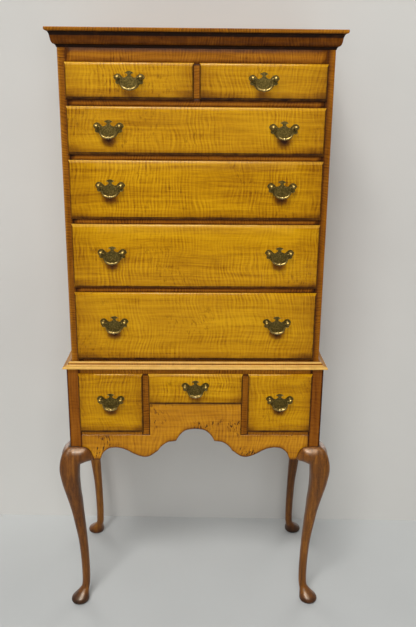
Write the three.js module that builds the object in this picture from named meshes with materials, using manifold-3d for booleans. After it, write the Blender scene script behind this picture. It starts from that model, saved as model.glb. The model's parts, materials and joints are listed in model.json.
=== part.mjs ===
// A tall chest of drawers in two cases: an upper case with six drawers, on a lower case
// with three drawers, a scalloped apron and four cabriole legs with pad feet.
// Millimetres, +Z up. The front faces -Y, and +X is on the right of someone facing it.
// The origin is on the floor, under the centre of the lower case.

import * as THREE from "three";
import { mergeVertices } from "three/addons/utils/BufferGeometryUtils.js";
import Module from "manifold-3d";

const wasm = await Module();
wasm.setup();

// The two cases
const upperWidth = 762;
const upperDepth = 414;
const setback = 15; // how far the upper case stands in from the lower one, at the front and sides
const jointHeight = 852; // where the upper case rests on the lower one
const overallHeight = 1824;
const upperSideThickness = 22;
const upperBackThickness = 8;
const lowerSideThickness = 19;
const lowerBackThickness = 12;

// Top board, cornice and waist moulding
const topBoardThickness = 10;
const topBoardReach = 28.5; // beyond the case, at the front and sides
const corniceHeight = 40;
const corniceReach = 22;
const waistDrop = 3.5; // how far the waist moulding hangs below the joint of the cases
const waistHeight = 18.5;
const waistReach = 25.5; // beyond the upper case
const slipGap = 0.3; // between the upper case and the moulding it drops into

// What shows of the frieze, rails and dividers between the drawers, and the lower drawers' faces
const friezeShow = 77;
const topRailShow = 17;
const secondRailShow = 14.5;
const thirdRailShow = 14.5;
const fourthRailShow = 14;
const baseRailShow = 20.5;
const topDividerShow = 15;
const sideDrawerFace = 196;
const centreDrawerFace = 100.5;
const centreDrawerWidth = 293;
const lowerDividerShow = 16;
const lowerTopRailShow = 21;
const lowerRailShow = 11.5;

// Drawer construction
const lipThickness = 8;
const lipOverlap = 4; // what a lip covers of the case around its opening
const lipRound = 8; // width of the rounded edge
const lipStep = 1; // the small step where the flat face meets the rounded edge
const lipEdge = 1.5; // the flat rim at the back of the lip
const lipStandoff = 0.3;
const frontBodyThickness = 13; // the part of a drawer front that enters the opening
const frontClearance = 0.8;
const boxClearance = 1.2;
const boxTopClearance = 5;
const runGap = 0.3; // between a drawer side and its runner
const drawerSideThickness = 10;
const drawerBottomThickness = 6;
const drawerBottomRaise = 6;
const drawerLength = 384; // from the front of the case to the back of the drawer

// Rails, runners and cleats inside the cases
const railDepth = 60;
const friezeThickness = 22;
const runnerWidth = 24;
const runnerHeight = 18;
const guideHeight = 14;
const cleatSize = 16;
const caseBottomThickness = 12;
const partitionThickness = 12;
const joinOverrun = 1; // how far joined boards reach into each other

// Apron and side skirts
const apronThickness = 19;
const apronTipDrop = 87.5; // from the apron's top edge to its lowest tips
const apronScallopRise = 108; // from the tips to the top of the centre arch
const skirtRise = 44;
const backBoardDrop = 24; // how far the back board hangs below the apron's top edge

// Legs
const postSize = 38;
const legStock = 77; // the square that the knee and foot are sawn from
const kneeDrop = 38.5; // from the apron's top edge to the top of the knee
const kneeSquareness = 1.2;
const footHeight = 42; // the swelling above the sole
const bracketLength = 36; // beyond the post
const bracketRoot = 22; // where the bracket starts inside the knee
const bracketHeight = 64;
const bracketBulge = 28;
const legSides = 12;
const bracketSteps = 6;

// Brass pulls
const boring = 63.5; // between the two posts of a pull
const topPullRaise = 9; // from the middle of a drawer face up to the posts of its pulls
const secondPullRaise = 12;
const thirdPullRaise = 13;
const fourthPullRaise = 13;
const fifthPullRaise = 16.5;
const sidePullRaise = 17;
const centrePullRaise = 13;
const longPullInset = 117; // from the end of a long drawer to the middle of its pull
const plateHalfWidth = 43;
const plateTop = 18; // above the posts
const plateBottom = 34; // below the posts
const plateThickness = 1.8;
const plateSteps = 22;
const postReach = 17; // from the drawer face to the centre of the ball
const ballRadius = 7;
const neckRadius = 3.4;
const neckSides = 8;
const bailWireRadius = 2.4;
const bailDrop = 30.5;
const bailHoleClearance = 0.5;
const bailEndInset = 2.2; // from the post's axis to the end of the bail
const bailSteps = 20;
const bailSides = 6;
const beadRadius = 3.9;
const ballSegments = 8;
const ballRings = 6;

// Drawer faces of the upper case from the fifth row up: shares of the height that the frieze
// and rails leave
const rowFaceShares = [0.26538, 0.23804, 0.20883, 0.1647, 0.12306];

// Half of the apron's lower edge, from the centre out: shares of half its length and of its rise
const apronEdgeShares = [
  [[0, 1], [0.055, 0.98], [0.09, 0.94], [0.12, 0.86], [0.145, 0.76], [0.162, 0.66], [0.17, 0.61]],
  [[0.2, 0.595], [0.238, 0.575]],
  [[0.268, 0.52], [0.292, 0.455], [0.315, 0.37], [0.33, 0.29]],
  [[0.352, 0.24], [0.38, 0.165], [0.415, 0.105], [0.455, 0.088], [0.5, 0.125], [0.553, 0.205],
    [0.594, 0.285], [0.64, 0.355], [0.685, 0.39], [0.72, 0.393], [0.765, 0.365], [0.802, 0.28],
    [0.824, 0.185], [0.84, 0.05], [0.848, 0]],
];

// Half of a side skirt's lower edge, from its end to its middle: shares of its length and rise
const skirtEdgeShares = [
  [0.045, 0], [0.055, 0.16], [0.075, 0.42], [0.11, 0.7], [0.16, 0.88], [0.22, 0.97], [0.3, 1],
];

// Leg sections from the knee down: shares of the knee's height, then centre and half width as
// shares of the stock, measured out from the corner of the case
const legShares = [
  [1, -0.195, 0.188], [0.993, -0.11, 0.25], [0.981, -0.062, 0.3], [0.961, -0.016, 0.347],
  [0.932, 0.02, 0.383], [0.897, 0.044, 0.407], [0.86, 0.054, 0.406], [0.817, 0.042, 0.38],
  [0.768, 0.01, 0.354], [0.718, -0.036, 0.321], [0.668, -0.091, 0.299], [0.591, -0.159, 0.256],
  [0.503, -0.224, 0.23], [0.391, -0.299, 0.195], [0.28, -0.338, 0.182], [0.188, -0.354, 0.178],
  [0.12, -0.346, 0.173],
];

// Foot sections: shares of the foot's height, then centre and half width as above
const footShares = [
  [1.15, -0.318, 0.178], [0.95, -0.27, 0.205], [0.76, -0.216, 0.25], [0.58, -0.158, 0.315],
  [0.42, -0.11, 0.37], [0.24, -0.091, 0.39], [0.1, -0.091, 0.377], [0, -0.091, 0.32],
];

// Bracket sections from the knee to the tip: shares of the run, the bulge and the height,
// the last two for the upper and the lower edge
const bracketShares = [
  [0, 1, 1, 0], [0.23, 0.96, 1, 0.045], [0.46, 0.82, 0.985, 0.13], [0.65, 0.62, 0.92, 0.17],
  [0.83, 0.4, 0.76, 0.2], [0.94, 0.22, 0.54, 0.25], [1, 0.08, 0.4, 0.3],
];

// Moulding profiles from the bottom out and up: shares of the reach and the height
const corniceShares = [
  [0, 0], [0.07, 0.02], [0.11, 0.1], [0.23, 0.18], [0.41, 0.22], [0.535, 0.3], [0.625, 0.41],
  [0.68, 0.55], [0.725, 0.7], [0.8, 0.84], [0.91, 0.95], [1, 1], [0, 1],
];
const topBoardShares = [
  [0.84, 0], [0.94, 0.12], [1, 0.4], [1, 0.85], [0.975, 1],
];
const waistShares = [
  [1, 0], [1, 0.21], [0.96, 0.3], [0.85, 0.37], [0.65, 0.4], [0.5, 0.47], [0.44, 0.6],
  [0.43, 0.73], [0.34, 0.74], [0.35, 0.87], [0.3, 0.96], [0.23, 1],
];

// Half of a pull's plate, from the crown round to the bottom: shares of its half width and,
// above or below the posts, of its top or its bottom
const plateShares = [
  [0, 1], [0.1, 0.95], [0.2, 0.84], [0.28, 0.68], [0.19, 0.64], [0.11, 0.5], [0.12, 0.3],
  [0.24, 0.1], [0.37, 0.02], [0.47, 0.22], [0.6, 0.52], [0.76, 0.6], [0.92, 0.4], [1, 0.02],
  [0.91, -0.12], [0.86, -0.22], [0.89, -0.36], [0.8, -0.48], [0.66, -0.5], [0.58, -0.64],
  [0.47, -0.8], [0.3, -0.91], [0.15, -0.94], [0, -1],
];

// Half of a bail below its turned end, down to the middle: shares of half the boring and of the drop
const bailShares = [
  [0.785, 0], [0.72, -0.055], [0.69, -0.19], [0.68, -0.42], [0.64, -0.66], [0.5, -0.86],
  [0.28, -0.965],
];

// Levels and planes that follow from the sizes above
const lowerWidth = upperWidth + 2 * setback;
const lowerDepth = upperDepth + setback;
const lowerHalf = lowerWidth / 2;
const upperHalf = upperWidth / 2;
const lowerFront = -lowerDepth / 2;
const upperFront = lowerFront + setback;
const rear = lowerDepth / 2;
const upperTop = overallHeight - topBoardThickness;
const upperInner = upperHalf - upperSideThickness;
const postInner = lowerHalf - postSize;
const lowerDrawerTop = jointHeight - lowerTopRailShow;
const sideDrawerBottom = lowerDrawerTop - sideDrawerFace;
const centreDrawerBottom = lowerDrawerTop - centreDrawerFace;
const apronTop = sideDrawerBottom - lowerRailShow;
const apronTip = apronTop - apronTipDrop;
const kneeTop = apronTop - kneeDrop;
const centreDrawerHalf = centreDrawerWidth / 2;
const dividerInner = centreDrawerHalf - lipOverlap;
const dividerOuter = centreDrawerHalf + lowerDividerShow + lipOverlap;
const partitionCentre = (dividerInner + dividerOuter) / 2;
const lowerRailTop = sideDrawerBottom + lipOverlap;
const centreRunTop = centreDrawerBottom + lipOverlap;
const lowerRailBottom = lowerDrawerTop - lipOverlap;
const cleatFront = rear - upperBackThickness - cleatSize;

// Finishes
function finish(color, roughness, metalness) {
  return () => new THREE.MeshStandardMaterial({ color, roughness, metalness });
}
const maple = finish(0xb8821f, 0.35, 0);
const darkMaple = finish(0x7a4719, 0.35, 0);
const innerWood = finish(0xc9a56a, 0.7, 0);
const brass = finish(0x6a5628, 0.35, 1);

const highboy = new THREE.Group();

// A solid from points and triangles, turned right side out
function solidFrom(points, triangles) {
  const geometry = new THREE.BufferGeometry();
  const coordinates = points.flatMap((p) => [p.x, p.y, p.z]);
  geometry.setAttribute("position", new THREE.Float32BufferAttribute(coordinates, 3));
  geometry.setIndex(triangles);
  return solid(geometry);
}

// A closed geometry as a solid that can be joined and cut
function solid(geometry) {
  const bare = geometry.clone();
  bare.deleteAttribute("normal");
  bare.deleteAttribute("uv");
  const welded = mergeVertices(bare);
  const vertProperties = new Float32Array(welded.attributes.position.array);
  const triVerts = new Uint32Array(welded.index.array);
  if (signedVolume(vertProperties, triVerts) < 0) {
    for (let i = 0; i < triVerts.length; i += 3) {
      const first = triVerts[i];
      triVerts[i] = triVerts[i + 1];
      triVerts[i + 1] = first;
    }
  }
  return new wasm.Manifold(new wasm.Mesh({ numProp: 3, vertProperties, triVerts }));
}

function signedVolume(coordinates, corners) {
  const point = (i) => new THREE.Vector3().fromArray(coordinates, 3 * corners[i]);
  let sum = 0;
  for (let i = 0; i < corners.length; i += 3) {
    sum += point(i).dot(point(i + 1).cross(point(i + 2)));
  }
  return sum;
}

// A board between two corners
function board(low, high) {
  const size = new THREE.Vector3().subVectors(high, low);
  const geometry = new THREE.BoxGeometry(size.x, size.y, size.z);
  const middle = new THREE.Vector3().addVectors(low, high).multiplyScalar(0.5);
  return solid(geometry.translate(middle.x, middle.y, middle.z));
}

function span(x, y, z) {
  return board(new THREE.Vector3(x[0], y[0], z[0]), new THREE.Vector3(x[1], y[1], z[1]));
}

// The same board on the right and, mirrored, on the left
function pair(x, y, z) {
  return span(x, y, z).add(span([-x[1], -x[0]], y, z));
}

// A closed skin through rings of points. The flat outline of a ring says how the ends are filled
function loft(rings, outline) {
  const count = outline.length;
  const last = (rings.length - 1) * count;
  const triangles = [];
  for (let r = 0; r < rings.length - 1; r += 1) {
    for (let i = 0; i < count; i += 1) {
      const a = r * count + i;
      const b = r * count + ((i + 1) % count);
      triangles.push(a, b, b + count, a, b + count, a + count);
    }
  }
  const clockwise = THREE.ShapeUtils.isClockWise(outline);
  for (const face of THREE.ShapeUtils.triangulateShape(outline, [])) {
    const [a, b, c] = clockwise ? face.reverse() : face;
    triangles.push(a, c, b, last + a, last + b, last + c);
  }
  return solidFrom(rings.flat(), triangles);
}

// A flat outline in X and Z, as thick as said, with its front at y
function plank(outline, y, thickness) {
  const geometry = new THREE.ExtrudeGeometry(new THREE.Shape(outline), {
    depth: thickness,
    bevelEnabled: false,
  });
  return solid(geometry.rotateX(Math.PI / 2).translate(0, y + thickness, 0));
}

// Adds a named piece to the model
function place(name, body, material) {
  const { vertProperties, triVerts } = body.getMesh();
  const geometry = new THREE.BufferGeometry();
  geometry.setAttribute("position", new THREE.BufferAttribute(vertProperties, 3));
  geometry.setIndex(new THREE.BufferAttribute(triVerts, 1));
  geometry.computeVertexNormals();
  const mesh = new THREE.Mesh(geometry, material());
  mesh.name = name;
  highboy.add(mesh);
}

// A moulding run along one side, the front and the other side, mitred at the corners.
// Its profile is given as points of reach beyond the case and height
function mouldingRun(profile, half, front) {
  const stations = [
    (p) => new THREE.Vector3(-half - p.x, rear, p.y),
    (p) => new THREE.Vector3(-half - p.x, front - p.x, p.y),
    (p) => new THREE.Vector3(half + p.x, front - p.x, p.y),
    (p) => new THREE.Vector3(half + p.x, rear, p.y),
  ];
  return loft(stations.map((at) => profile.map(at)), profile);
}

function scaled(shares, width, height, base) {
  return shares.map(([a, b]) => new THREE.Vector2(a * width, base + b * height));
}

// Upper case
function upperSides() {
  for (const [name, sign] of [["left", -1], ["right", 1]]) {
    const edges = [sign * upperInner, sign * upperHalf].sort((a, b) => a - b);
    place(`upper_side_${name}`, span(edges, [upperFront, rear], [jointHeight, upperTop]), darkMaple);
  }
}

function upperBack() {
  const back = span([-upperInner, upperInner], [rear - upperBackThickness, rear], [jointHeight, upperTop]);
  place("upper_back", back, innerWood);
}

function topBoard() {
  const profile = scaled(topBoardShares, topBoardReach, topBoardThickness, upperTop);
  const rings = profile.map((p) => [
    new THREE.Vector3(-upperHalf - p.x, rear, p.y),
    new THREE.Vector3(-upperHalf - p.x, upperFront - p.x, p.y),
    new THREE.Vector3(upperHalf + p.x, upperFront - p.x, p.y),
    new THREE.Vector3(upperHalf + p.x, rear, p.y),
  ]);
  place("upper_top_board", loft(rings, rings[0].map((p) => new THREE.Vector2(p.x, p.y))), darkMaple);
}

function corniceMoulding() {
  const profile = scaled(corniceShares, corniceReach, corniceHeight, upperTop - corniceHeight);
  place("cornice_moulding", mouldingRun(profile, upperHalf, upperFront), darkMaple);
}

function waistMoulding() {
  const bottom = jointHeight - waistDrop;
  const profile = [
    new THREE.Vector2(setback, bottom),
    ...scaled(waistShares, waistReach, waistHeight, bottom),
    new THREE.Vector2(slipGap, bottom + waistHeight),
    new THREE.Vector2(slipGap, jointHeight),
    new THREE.Vector2(setback, jointHeight),
  ];
  place("waist_moulding", mouldingRun(profile, upperHalf, upperFront), darkMaple);
}

// Rows of the upper case from the bottom up, each with the rail under it
function upperRows() {
  const rows = [
    { name: "fifth", rail: baseRailShow, raise: fifthPullRaise },
    { name: "fourth", rail: fourthRailShow, raise: fourthPullRaise },
    { name: "third", rail: thirdRailShow, raise: thirdPullRaise },
    { name: "second", rail: secondRailShow, raise: secondPullRaise },
    { name: "top", rail: topRailShow, raise: topPullRaise },
  ];
  const rails = rows.reduce((sum, row) => sum + row.rail, 0);
  const faces = upperTop - friezeShow - jointHeight - rails;
  let level = jointHeight;
  rows.forEach((row, i) => {
    row.bottom = level + row.rail;
    row.top = row.bottom + rowFaceShares[i] * faces;
    level = row.top;
  });
  return rows;
}

// Front rails, divider, runners, base and rear cleats of the upper case, glued up as one frame
function upperFrame() {
  const full = [-upperInner, upperInner];
  const rails = [upperFront, upperFront + railDepth];
  const behindRails = [upperFront + railDepth - joinOverrun, cleatFront + joinOverrun];
  const rows = upperRows();
  const topRow = rows[rows.length - 1];
  const dividerHalf = topDividerShow / 2 + lipOverlap;
  let under = jointHeight;
  let frame = span(full, [upperFront, cleatFront + joinOverrun], [under, under + caseBottomThickness]);
  for (const row of rows) {
    const railTop = row.bottom + lipOverlap;
    const runner = [railTop - runnerHeight, railTop];
    frame = frame.add(span(full, rails, [under, railTop]));
    frame = frame.add(pair([upperInner - runnerWidth, upperInner], behindRails, runner));
    under = row.top - lipOverlap;
  }
  frame = frame.add(span(full, [upperFront, upperFront + friezeThickness], [under, upperTop]));

  const topRail = topRow.bottom + lipOverlap;
  const middle = [-dividerHalf, dividerHalf];
  const wideMiddle = [-runnerWidth, runnerWidth];
  const dividerLevels = [topRail - joinOverrun, under + joinOverrun];
  const guideLevels = [topRail - runnerHeight, topRail + guideHeight];
  frame = frame.add(span(middle, rails, dividerLevels));
  frame = frame.add(span(wideMiddle, behindRails, [topRail - runnerHeight, topRail]));
  frame = frame.add(span(middle, behindRails, guideLevels));

  const cleats = [cleatFront, cleatFront + cleatSize];
  frame = frame.add(pair([upperInner - cleatSize, upperInner], cleats, [jointHeight, upperTop]));
  const rearRail = [topRail - runnerHeight, topRail];
  frame = frame.add(span(full, cleats, rearRail));
  place("upper_frame", frame, darkMaple);
}

// Lower case
function lowerFrame() {
  const rails = [lowerFront, lowerFront + railDepth];
  const back = rear - lowerBackThickness;
  const betweenPosts = [lowerFront + postSize, rear - postSize];
  const behindRails = [lowerFront + railDepth - joinOverrun, back];
  const sideInner = lowerHalf - lowerSideThickness;
  const partitionHalf = partitionThickness / 2;
  const partition = [partitionCentre - partitionHalf, partitionCentre + partitionHalf];
  const lowRunner = [lowerRailTop - runnerHeight, lowerRailTop];
  const bearing = postInner - runnerWidth;
  const inset = [partition[1] - joinOverrun, dividerOuter + runnerWidth];
  const centreRun = [dividerInner - runnerWidth, partition[0] + joinOverrun];
  const centreDepth = [lowerFront + apronThickness, back];
  const centreLevels = [centreRunTop - runnerHeight, centreRunTop];

  let frame = span([-postInner, postInner], rails, [lowerRailBottom, jointHeight]);
  frame = frame.add(pair([dividerInner, dividerOuter], rails, [apronTop, lowerRailBottom + joinOverrun]));
  frame = frame.add(pair(partition, behindRails, [apronTop, jointHeight]));
  frame = frame.add(pair([dividerOuter - joinOverrun, postInner], rails, [apronTop, lowerRailTop]));
  frame = frame.add(pair(inset, behindRails, lowRunner));
  frame = frame.add(pair([bearing, postInner], behindRails, lowRunner));
  frame = frame.add(pair([postInner - joinOverrun, sideInner], betweenPosts, lowRunner));
  frame = frame.add(pair([postInner, sideInner], betweenPosts, [lowRunner[0], lowerRailTop + guideHeight]));
  frame = frame.add(pair(centreRun, centreDepth, centreLevels));
  place("lower_frame", frame, darkMaple);
}

// The apron's lower edge on the right, from the centre out. Round stretches are drawn as splines
function apronEdge() {
  const rise = apronScallopRise;
  const points = [];
  for (const stretch of apronEdgeShares) {
    const knots = scaled(stretch, postInner, rise, apronTip);
    points.push(...new THREE.SplineCurve(knots).getPoints(2 * (knots.length - 1)));
  }
  return points;
}

function apron() {
  const right = [
    ...apronEdge(),
    new THREE.Vector2(postInner, apronTip),
    new THREE.Vector2(postInner, apronTop),
    new THREE.Vector2(dividerInner, apronTop),
    new THREE.Vector2(dividerInner, centreRunTop),
  ];
  const left = right.slice(1).reverse().map((p) => new THREE.Vector2(-p.x, p.y));
  place("apron", plank([...right, ...left], lowerFront, apronThickness), maple);
}

function lowerSides() {
  const length = lowerDepth - 2 * postSize;
  const knots = scaled(skirtEdgeShares, length, skirtRise, apronTip);
  const toMiddle = new THREE.SplineCurve(knots).getPoints(2 * knots.length);
  const half = [new THREE.Vector2(0, apronTip), ...toMiddle];
  const mirrored = half.map((p) => new THREE.Vector2(length - p.x, p.y)).reverse();
  const top = [new THREE.Vector2(length, jointHeight), new THREE.Vector2(0, jointHeight)];
  const outline = new THREE.Shape([...half, ...mirrored, ...top]);
  for (const [name, x] of [["left", -lowerHalf], ["right", lowerHalf - lowerSideThickness]]) {
    const geometry = new THREE.ExtrudeGeometry(outline, { depth: lowerSideThickness, bevelEnabled: false });
    geometry.rotateX(Math.PI / 2).rotateZ(Math.PI / 2).translate(x, lowerFront + postSize, 0);
    place(`lower_side_${name}`, solid(geometry), darkMaple);
  }
}

function lowerBack() {
  const levels = [apronTop - backBoardDrop, jointHeight];
  place("lower_back", span([-postInner, postInner], [rear - lowerBackThickness, rear], levels), innerWood);
}

// Leg sections are rounded squares. Their points are held as distances out from the corner of
// the case, along X and Y alike
function legRing(height, centreShare, halfShare, squareness) {
  const power = 2 / (2 + squareness);
  const centre = centreShare * legStock;
  const half = halfShare * legStock;
  const ring = [];
  for (let i = 0; i < legSides; i += 1) {
    const angle = (2 * Math.PI * i) / legSides;
    const across = Math.sign(Math.cos(angle)) * Math.abs(Math.cos(angle)) ** power;
    const along = Math.sign(Math.sin(angle)) * Math.abs(Math.sin(angle)) ** power;
    ring.push(new THREE.Vector3(centre + half * across, centre + half * along, height));
  }
  return ring;
}

function legRings() {
  const upper = legShares.map(([h, c, w]) => legRing(h * kneeTop, c, w, kneeSquareness * h * h));
  const lower = footShares.map(([h, c, w]) => legRing(h * footHeight, c, w, 0));
  return [...upper, ...lower];
}

// A bracket beside the knee, its bulge drawn as half ovals on the face of the apron or skirt.
// It is held the same way as a leg section
function bracketRings() {
  const end = postSize + bracketLength;
  const foot = kneeTop - bracketHeight;
  return bracketShares.map(([run, bulge, top, bottom]) => {
    const inward = -bracketRoot - run * (end - bracketRoot);
    const middle = foot + (bracketHeight * (top + bottom)) / 2;
    const half = (bracketHeight * (top - bottom)) / 2;
    const ring = [];
    for (let i = 0; i <= bracketSteps; i += 1) {
      const angle = (Math.PI * i) / bracketSteps;
      const out = bulge * bracketBulge * Math.sin(angle);
      ring.push(new THREE.Vector3(inward, out, middle + half * Math.cos(angle)));
    }
    return ring;
  });
}

function leg(name, sideSign, frontSign, bracketFlips) {
  const corner = new THREE.Vector3(sideSign * lowerHalf, frontSign > 0 ? rear : lowerFront, 0);
  const settle = (p) => new THREE.Vector3(corner.x + sideSign * p.x, corner.y + frontSign * p.y, p.z);
  const rings = legRings();
  let body = loft(rings.map((ring) => ring.map(settle)), rings[0].map((p) => new THREE.Vector2(p.x, p.y)));

  const inner = settle(new THREE.Vector3(-postSize, -postSize, 0));
  const x = [corner.x, inner.x].sort((a, b) => a - b);
  const y = [corner.y, inner.y].sort((a, b) => a - b);
  body = body.add(span(x, y, [apronTip, jointHeight]));

  for (const flip of bracketFlips) {
    const turned = (p) => (flip ? new THREE.Vector3(p.y, p.x, p.z) : p);
    const bracket = bracketRings();
    const outline = bracket[0].map((p) => new THREE.Vector2(p.y, p.z));
    body = body.add(loft(bracket.map((ring) => ring.map((p) => settle(turned(p)))), outline));
  }
  place(name, body, darkMaple);
}

function legs() {
  leg("leg_front_left", -1, -1, [false, true]);
  leg("leg_front_right", 1, -1, [false, true]);
  leg("leg_rear_left", -1, 1, [true]);
  leg("leg_rear_right", 1, 1, [true]);
}

// Every drawer, with the outline of its face and the places of its pulls
function drawerList() {
  const longHalf = upperInner + lipOverlap;
  const topInner = topDividerShow / 2;
  const sideInner = centreDrawerHalf + lowerDividerShow;
  const sideOuter = postInner + lipOverlap;
  const list = [];
  for (const row of upperRows()) {
    const levels = { bottom: row.bottom, top: row.top, raise: row.raise, front: upperFront };
    if (row.name === "top") {
      const middle = (topInner + longHalf) / 2;
      list.push({ ...levels, name: "top_left", left: -longHalf, right: -topInner, pulls: { only: -middle } });
      list.push({ ...levels, name: "top_right", left: topInner, right: longHalf, pulls: { only: middle } });
    } else {
      const reach = longHalf - longPullInset;
      const pulls = { left: -reach, right: reach };
      list.push({ ...levels, name: row.name, left: -longHalf, right: longHalf, pulls });
    }
  }
  const deep = { bottom: sideDrawerBottom, top: lowerDrawerTop, raise: sidePullRaise, front: lowerFront };
  const shallow = { ...deep, bottom: centreDrawerBottom, raise: centrePullRaise };
  const side = (sideInner + sideOuter) / 2;
  const centreEdges = { left: -centreDrawerHalf, right: centreDrawerHalf };
  list.push({ ...deep, name: "lower_left", left: -sideOuter, right: -sideInner, pulls: { only: -side } });
  list.push({ ...shallow, name: "lower_centre", ...centreEdges, pulls: { only: 0 } });
  list.push({ ...deep, name: "lower_right", left: sideInner, right: sideOuter, pulls: { only: side } });
  return list;
}

// A drawer front: a lip with a rounded edge, and the body that enters the opening
function drawerFront(drawer) {
  const back = drawer.front - lipStandoff;
  const face = back - lipThickness;
  const ring = (inset, y) => [
    new THREE.Vector3(drawer.left + inset, y, drawer.bottom + inset),
    new THREE.Vector3(drawer.right - inset, y, drawer.bottom + inset),
    new THREE.Vector3(drawer.right - inset, y, drawer.top - inset),
    new THREE.Vector3(drawer.left + inset, y, drawer.top - inset),
  ];
  const rings = [ring(lipRound, face)];
  const arcDepth = lipThickness - lipStep - lipEdge;
  for (const turnShare of [0, 0.25, 0.5, 0.75, 1]) {
    const turn = (turnShare * Math.PI) / 2;
    rings.push(ring(lipRound * (1 - Math.sin(turn)), face + lipStep + arcDepth * (1 - Math.cos(turn))));
  }
  rings.push(ring(0, back));
  const lip = loft(rings, rings[0].map((p) => new THREE.Vector2(p.x, p.z)));
  const cover = lipOverlap + frontClearance;
  const x = [drawer.left + cover, drawer.right - cover];
  const z = [drawer.bottom + lipOverlap + runGap, drawer.top - cover];
  return lip.add(span(x, [back - joinOverrun, drawer.front + frontBodyThickness], z));
}

// A drawer box: two sides, a back and a raised bottom, open at the top
function drawerBox(drawer) {
  const cover = lipOverlap + boxClearance;
  const left = drawer.left + cover;
  const right = drawer.right - cover;
  const y = [drawer.front + frontBodyThickness, drawer.front + drawerLength];
  const bottom = drawer.bottom + lipOverlap + runGap;
  const z = [bottom, drawer.top - lipOverlap - boxTopClearance];
  const panel = [bottom + drawerBottomRaise, bottom + drawerBottomRaise + drawerBottomThickness];
  return span([left, left + drawerSideThickness], y, z)
    .add(span([right - drawerSideThickness, right], y, z))
    .add(span([left, right], [y[1] - drawerSideThickness, y[1]], z))
    .add(span([left + joinOverrun, right - joinOverrun], y, panel));
}

// A pull's plate with its two ball-headed posts, each bored from the inner side for the bail
function pullPlate() {
  const knots = plateShares.map(([a, b]) => new THREE.Vector2(
    a * plateHalfWidth,
    b * (b > 0 ? plateTop : plateBottom),
  ));
  const half = new THREE.SplineCurve(knots).getPoints(plateSteps);
  const mirrored = half.slice(1, -1).reverse().map((p) => new THREE.Vector2(-p.x, p.y));
  let plate = plank([...half, ...mirrored], -plateThickness, plateThickness);
  for (const side of [-1, 1]) {
    const x = (side * boring) / 2;
    const neck = new THREE.CylinderGeometry(neckRadius, neckRadius, postReach, neckSides);
    plate = plate.add(solid(neck.translate(x, -postReach / 2, 0)));
    const ball = new THREE.SphereGeometry(ballRadius, ballSegments, ballRings);
    plate = plate.add(solid(ball.rotateZ(Math.PI / 2).translate(x, -postReach, 0)));
    const holeRadius = bailWireRadius + bailHoleClearance;
    const holeEnd = x - side * (bailEndInset - bailHoleClearance);
    const holeLength = ballRadius + joinOverrun;
    const hole = new THREE.CylinderGeometry(holeRadius, holeRadius, holeLength, bailSides);
    const middle = holeEnd - (side * holeLength) / 2;
    plate = plate.subtract(solid(hole.rotateZ(Math.PI / 2).translate(middle, -postReach, 0)));
  }
  return plate;
}

// A bail: a wire from post to post that hangs in a wide bow, with a bead at its middle
function pullBail() {
  const half = boring / 2;
  const start = new THREE.Vector3(half - bailEndInset, 0, 0);
  const right = bailShares.map(([a, b]) => new THREE.Vector3(a * half, 0, b * bailDrop));
  const left = right.map((p) => new THREE.Vector3(-p.x, 0, p.z)).reverse();
  const low = new THREE.Vector3(0, 0, -bailDrop);
  const end = new THREE.Vector3(-start.x, 0, 0);
  const path = new THREE.CatmullRomCurve3([start, ...right, low, ...left, end]);
  const section = new THREE.Shape().absarc(0, 0, bailWireRadius, 0, 2 * Math.PI);
  const wire = new THREE.ExtrudeGeometry(section, {
    steps: bailSteps,
    curveSegments: bailSides / 2,
    extrudePath: path,
    bevelEnabled: false,
  });
  const bead = new THREE.SphereGeometry(beadRadius, ballSegments, ballRings);
  return solid(wire).add(solid(bead.translate(0, 0, -bailDrop))).translate([0, -postReach, 0]);
}

function drawersAndPulls() {
  for (const drawer of drawerList()) {
    place(`drawer_front_${drawer.name}`, drawerFront(drawer), maple);
    place(`drawer_box_${drawer.name}`, drawerBox(drawer), innerWood);
    const height = (drawer.bottom + drawer.top) / 2 + drawer.raise;
    const face = drawer.front - lipStandoff - lipThickness;
    for (const [side, x] of Object.entries(drawer.pulls)) {
      const name = side === "only" ? drawer.name : `${drawer.name}_${side}`;
      place(`pull_plate_${name}`, pullPlate().translate([x, face, height]), brass);
      place(`pull_bail_${name}`, pullBail().translate([x, face, height]), brass);
    }
  }
}

upperSides();
upperBack();
topBoard();
corniceMoulding();
upperFrame();
waistMoulding();
lowerFrame();
apron();
lowerSides();
lowerBack();
legs();
drawersAndPulls();

export default highboy;
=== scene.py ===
import json
import math
import random

import bmesh
import bpy
import numpy as np
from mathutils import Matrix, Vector

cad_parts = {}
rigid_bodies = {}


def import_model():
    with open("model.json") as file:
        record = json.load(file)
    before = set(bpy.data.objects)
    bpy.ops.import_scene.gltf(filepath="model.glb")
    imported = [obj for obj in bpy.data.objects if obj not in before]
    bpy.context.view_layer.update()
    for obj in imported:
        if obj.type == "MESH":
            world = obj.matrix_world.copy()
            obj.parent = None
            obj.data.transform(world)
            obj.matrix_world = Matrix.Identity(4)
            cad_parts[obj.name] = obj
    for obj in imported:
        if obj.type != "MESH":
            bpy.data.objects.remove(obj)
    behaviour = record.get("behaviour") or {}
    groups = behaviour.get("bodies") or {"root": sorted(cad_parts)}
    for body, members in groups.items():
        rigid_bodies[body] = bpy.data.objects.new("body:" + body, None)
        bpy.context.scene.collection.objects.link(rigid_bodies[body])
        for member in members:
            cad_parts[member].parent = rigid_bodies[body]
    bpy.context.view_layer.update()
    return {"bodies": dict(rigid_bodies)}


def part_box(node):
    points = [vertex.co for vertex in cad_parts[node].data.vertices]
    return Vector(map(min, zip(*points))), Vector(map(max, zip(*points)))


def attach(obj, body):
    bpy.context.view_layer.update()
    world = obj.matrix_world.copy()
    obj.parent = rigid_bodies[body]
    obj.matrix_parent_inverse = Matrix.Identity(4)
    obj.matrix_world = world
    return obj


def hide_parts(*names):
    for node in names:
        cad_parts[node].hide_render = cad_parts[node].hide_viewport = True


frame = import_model()

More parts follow.
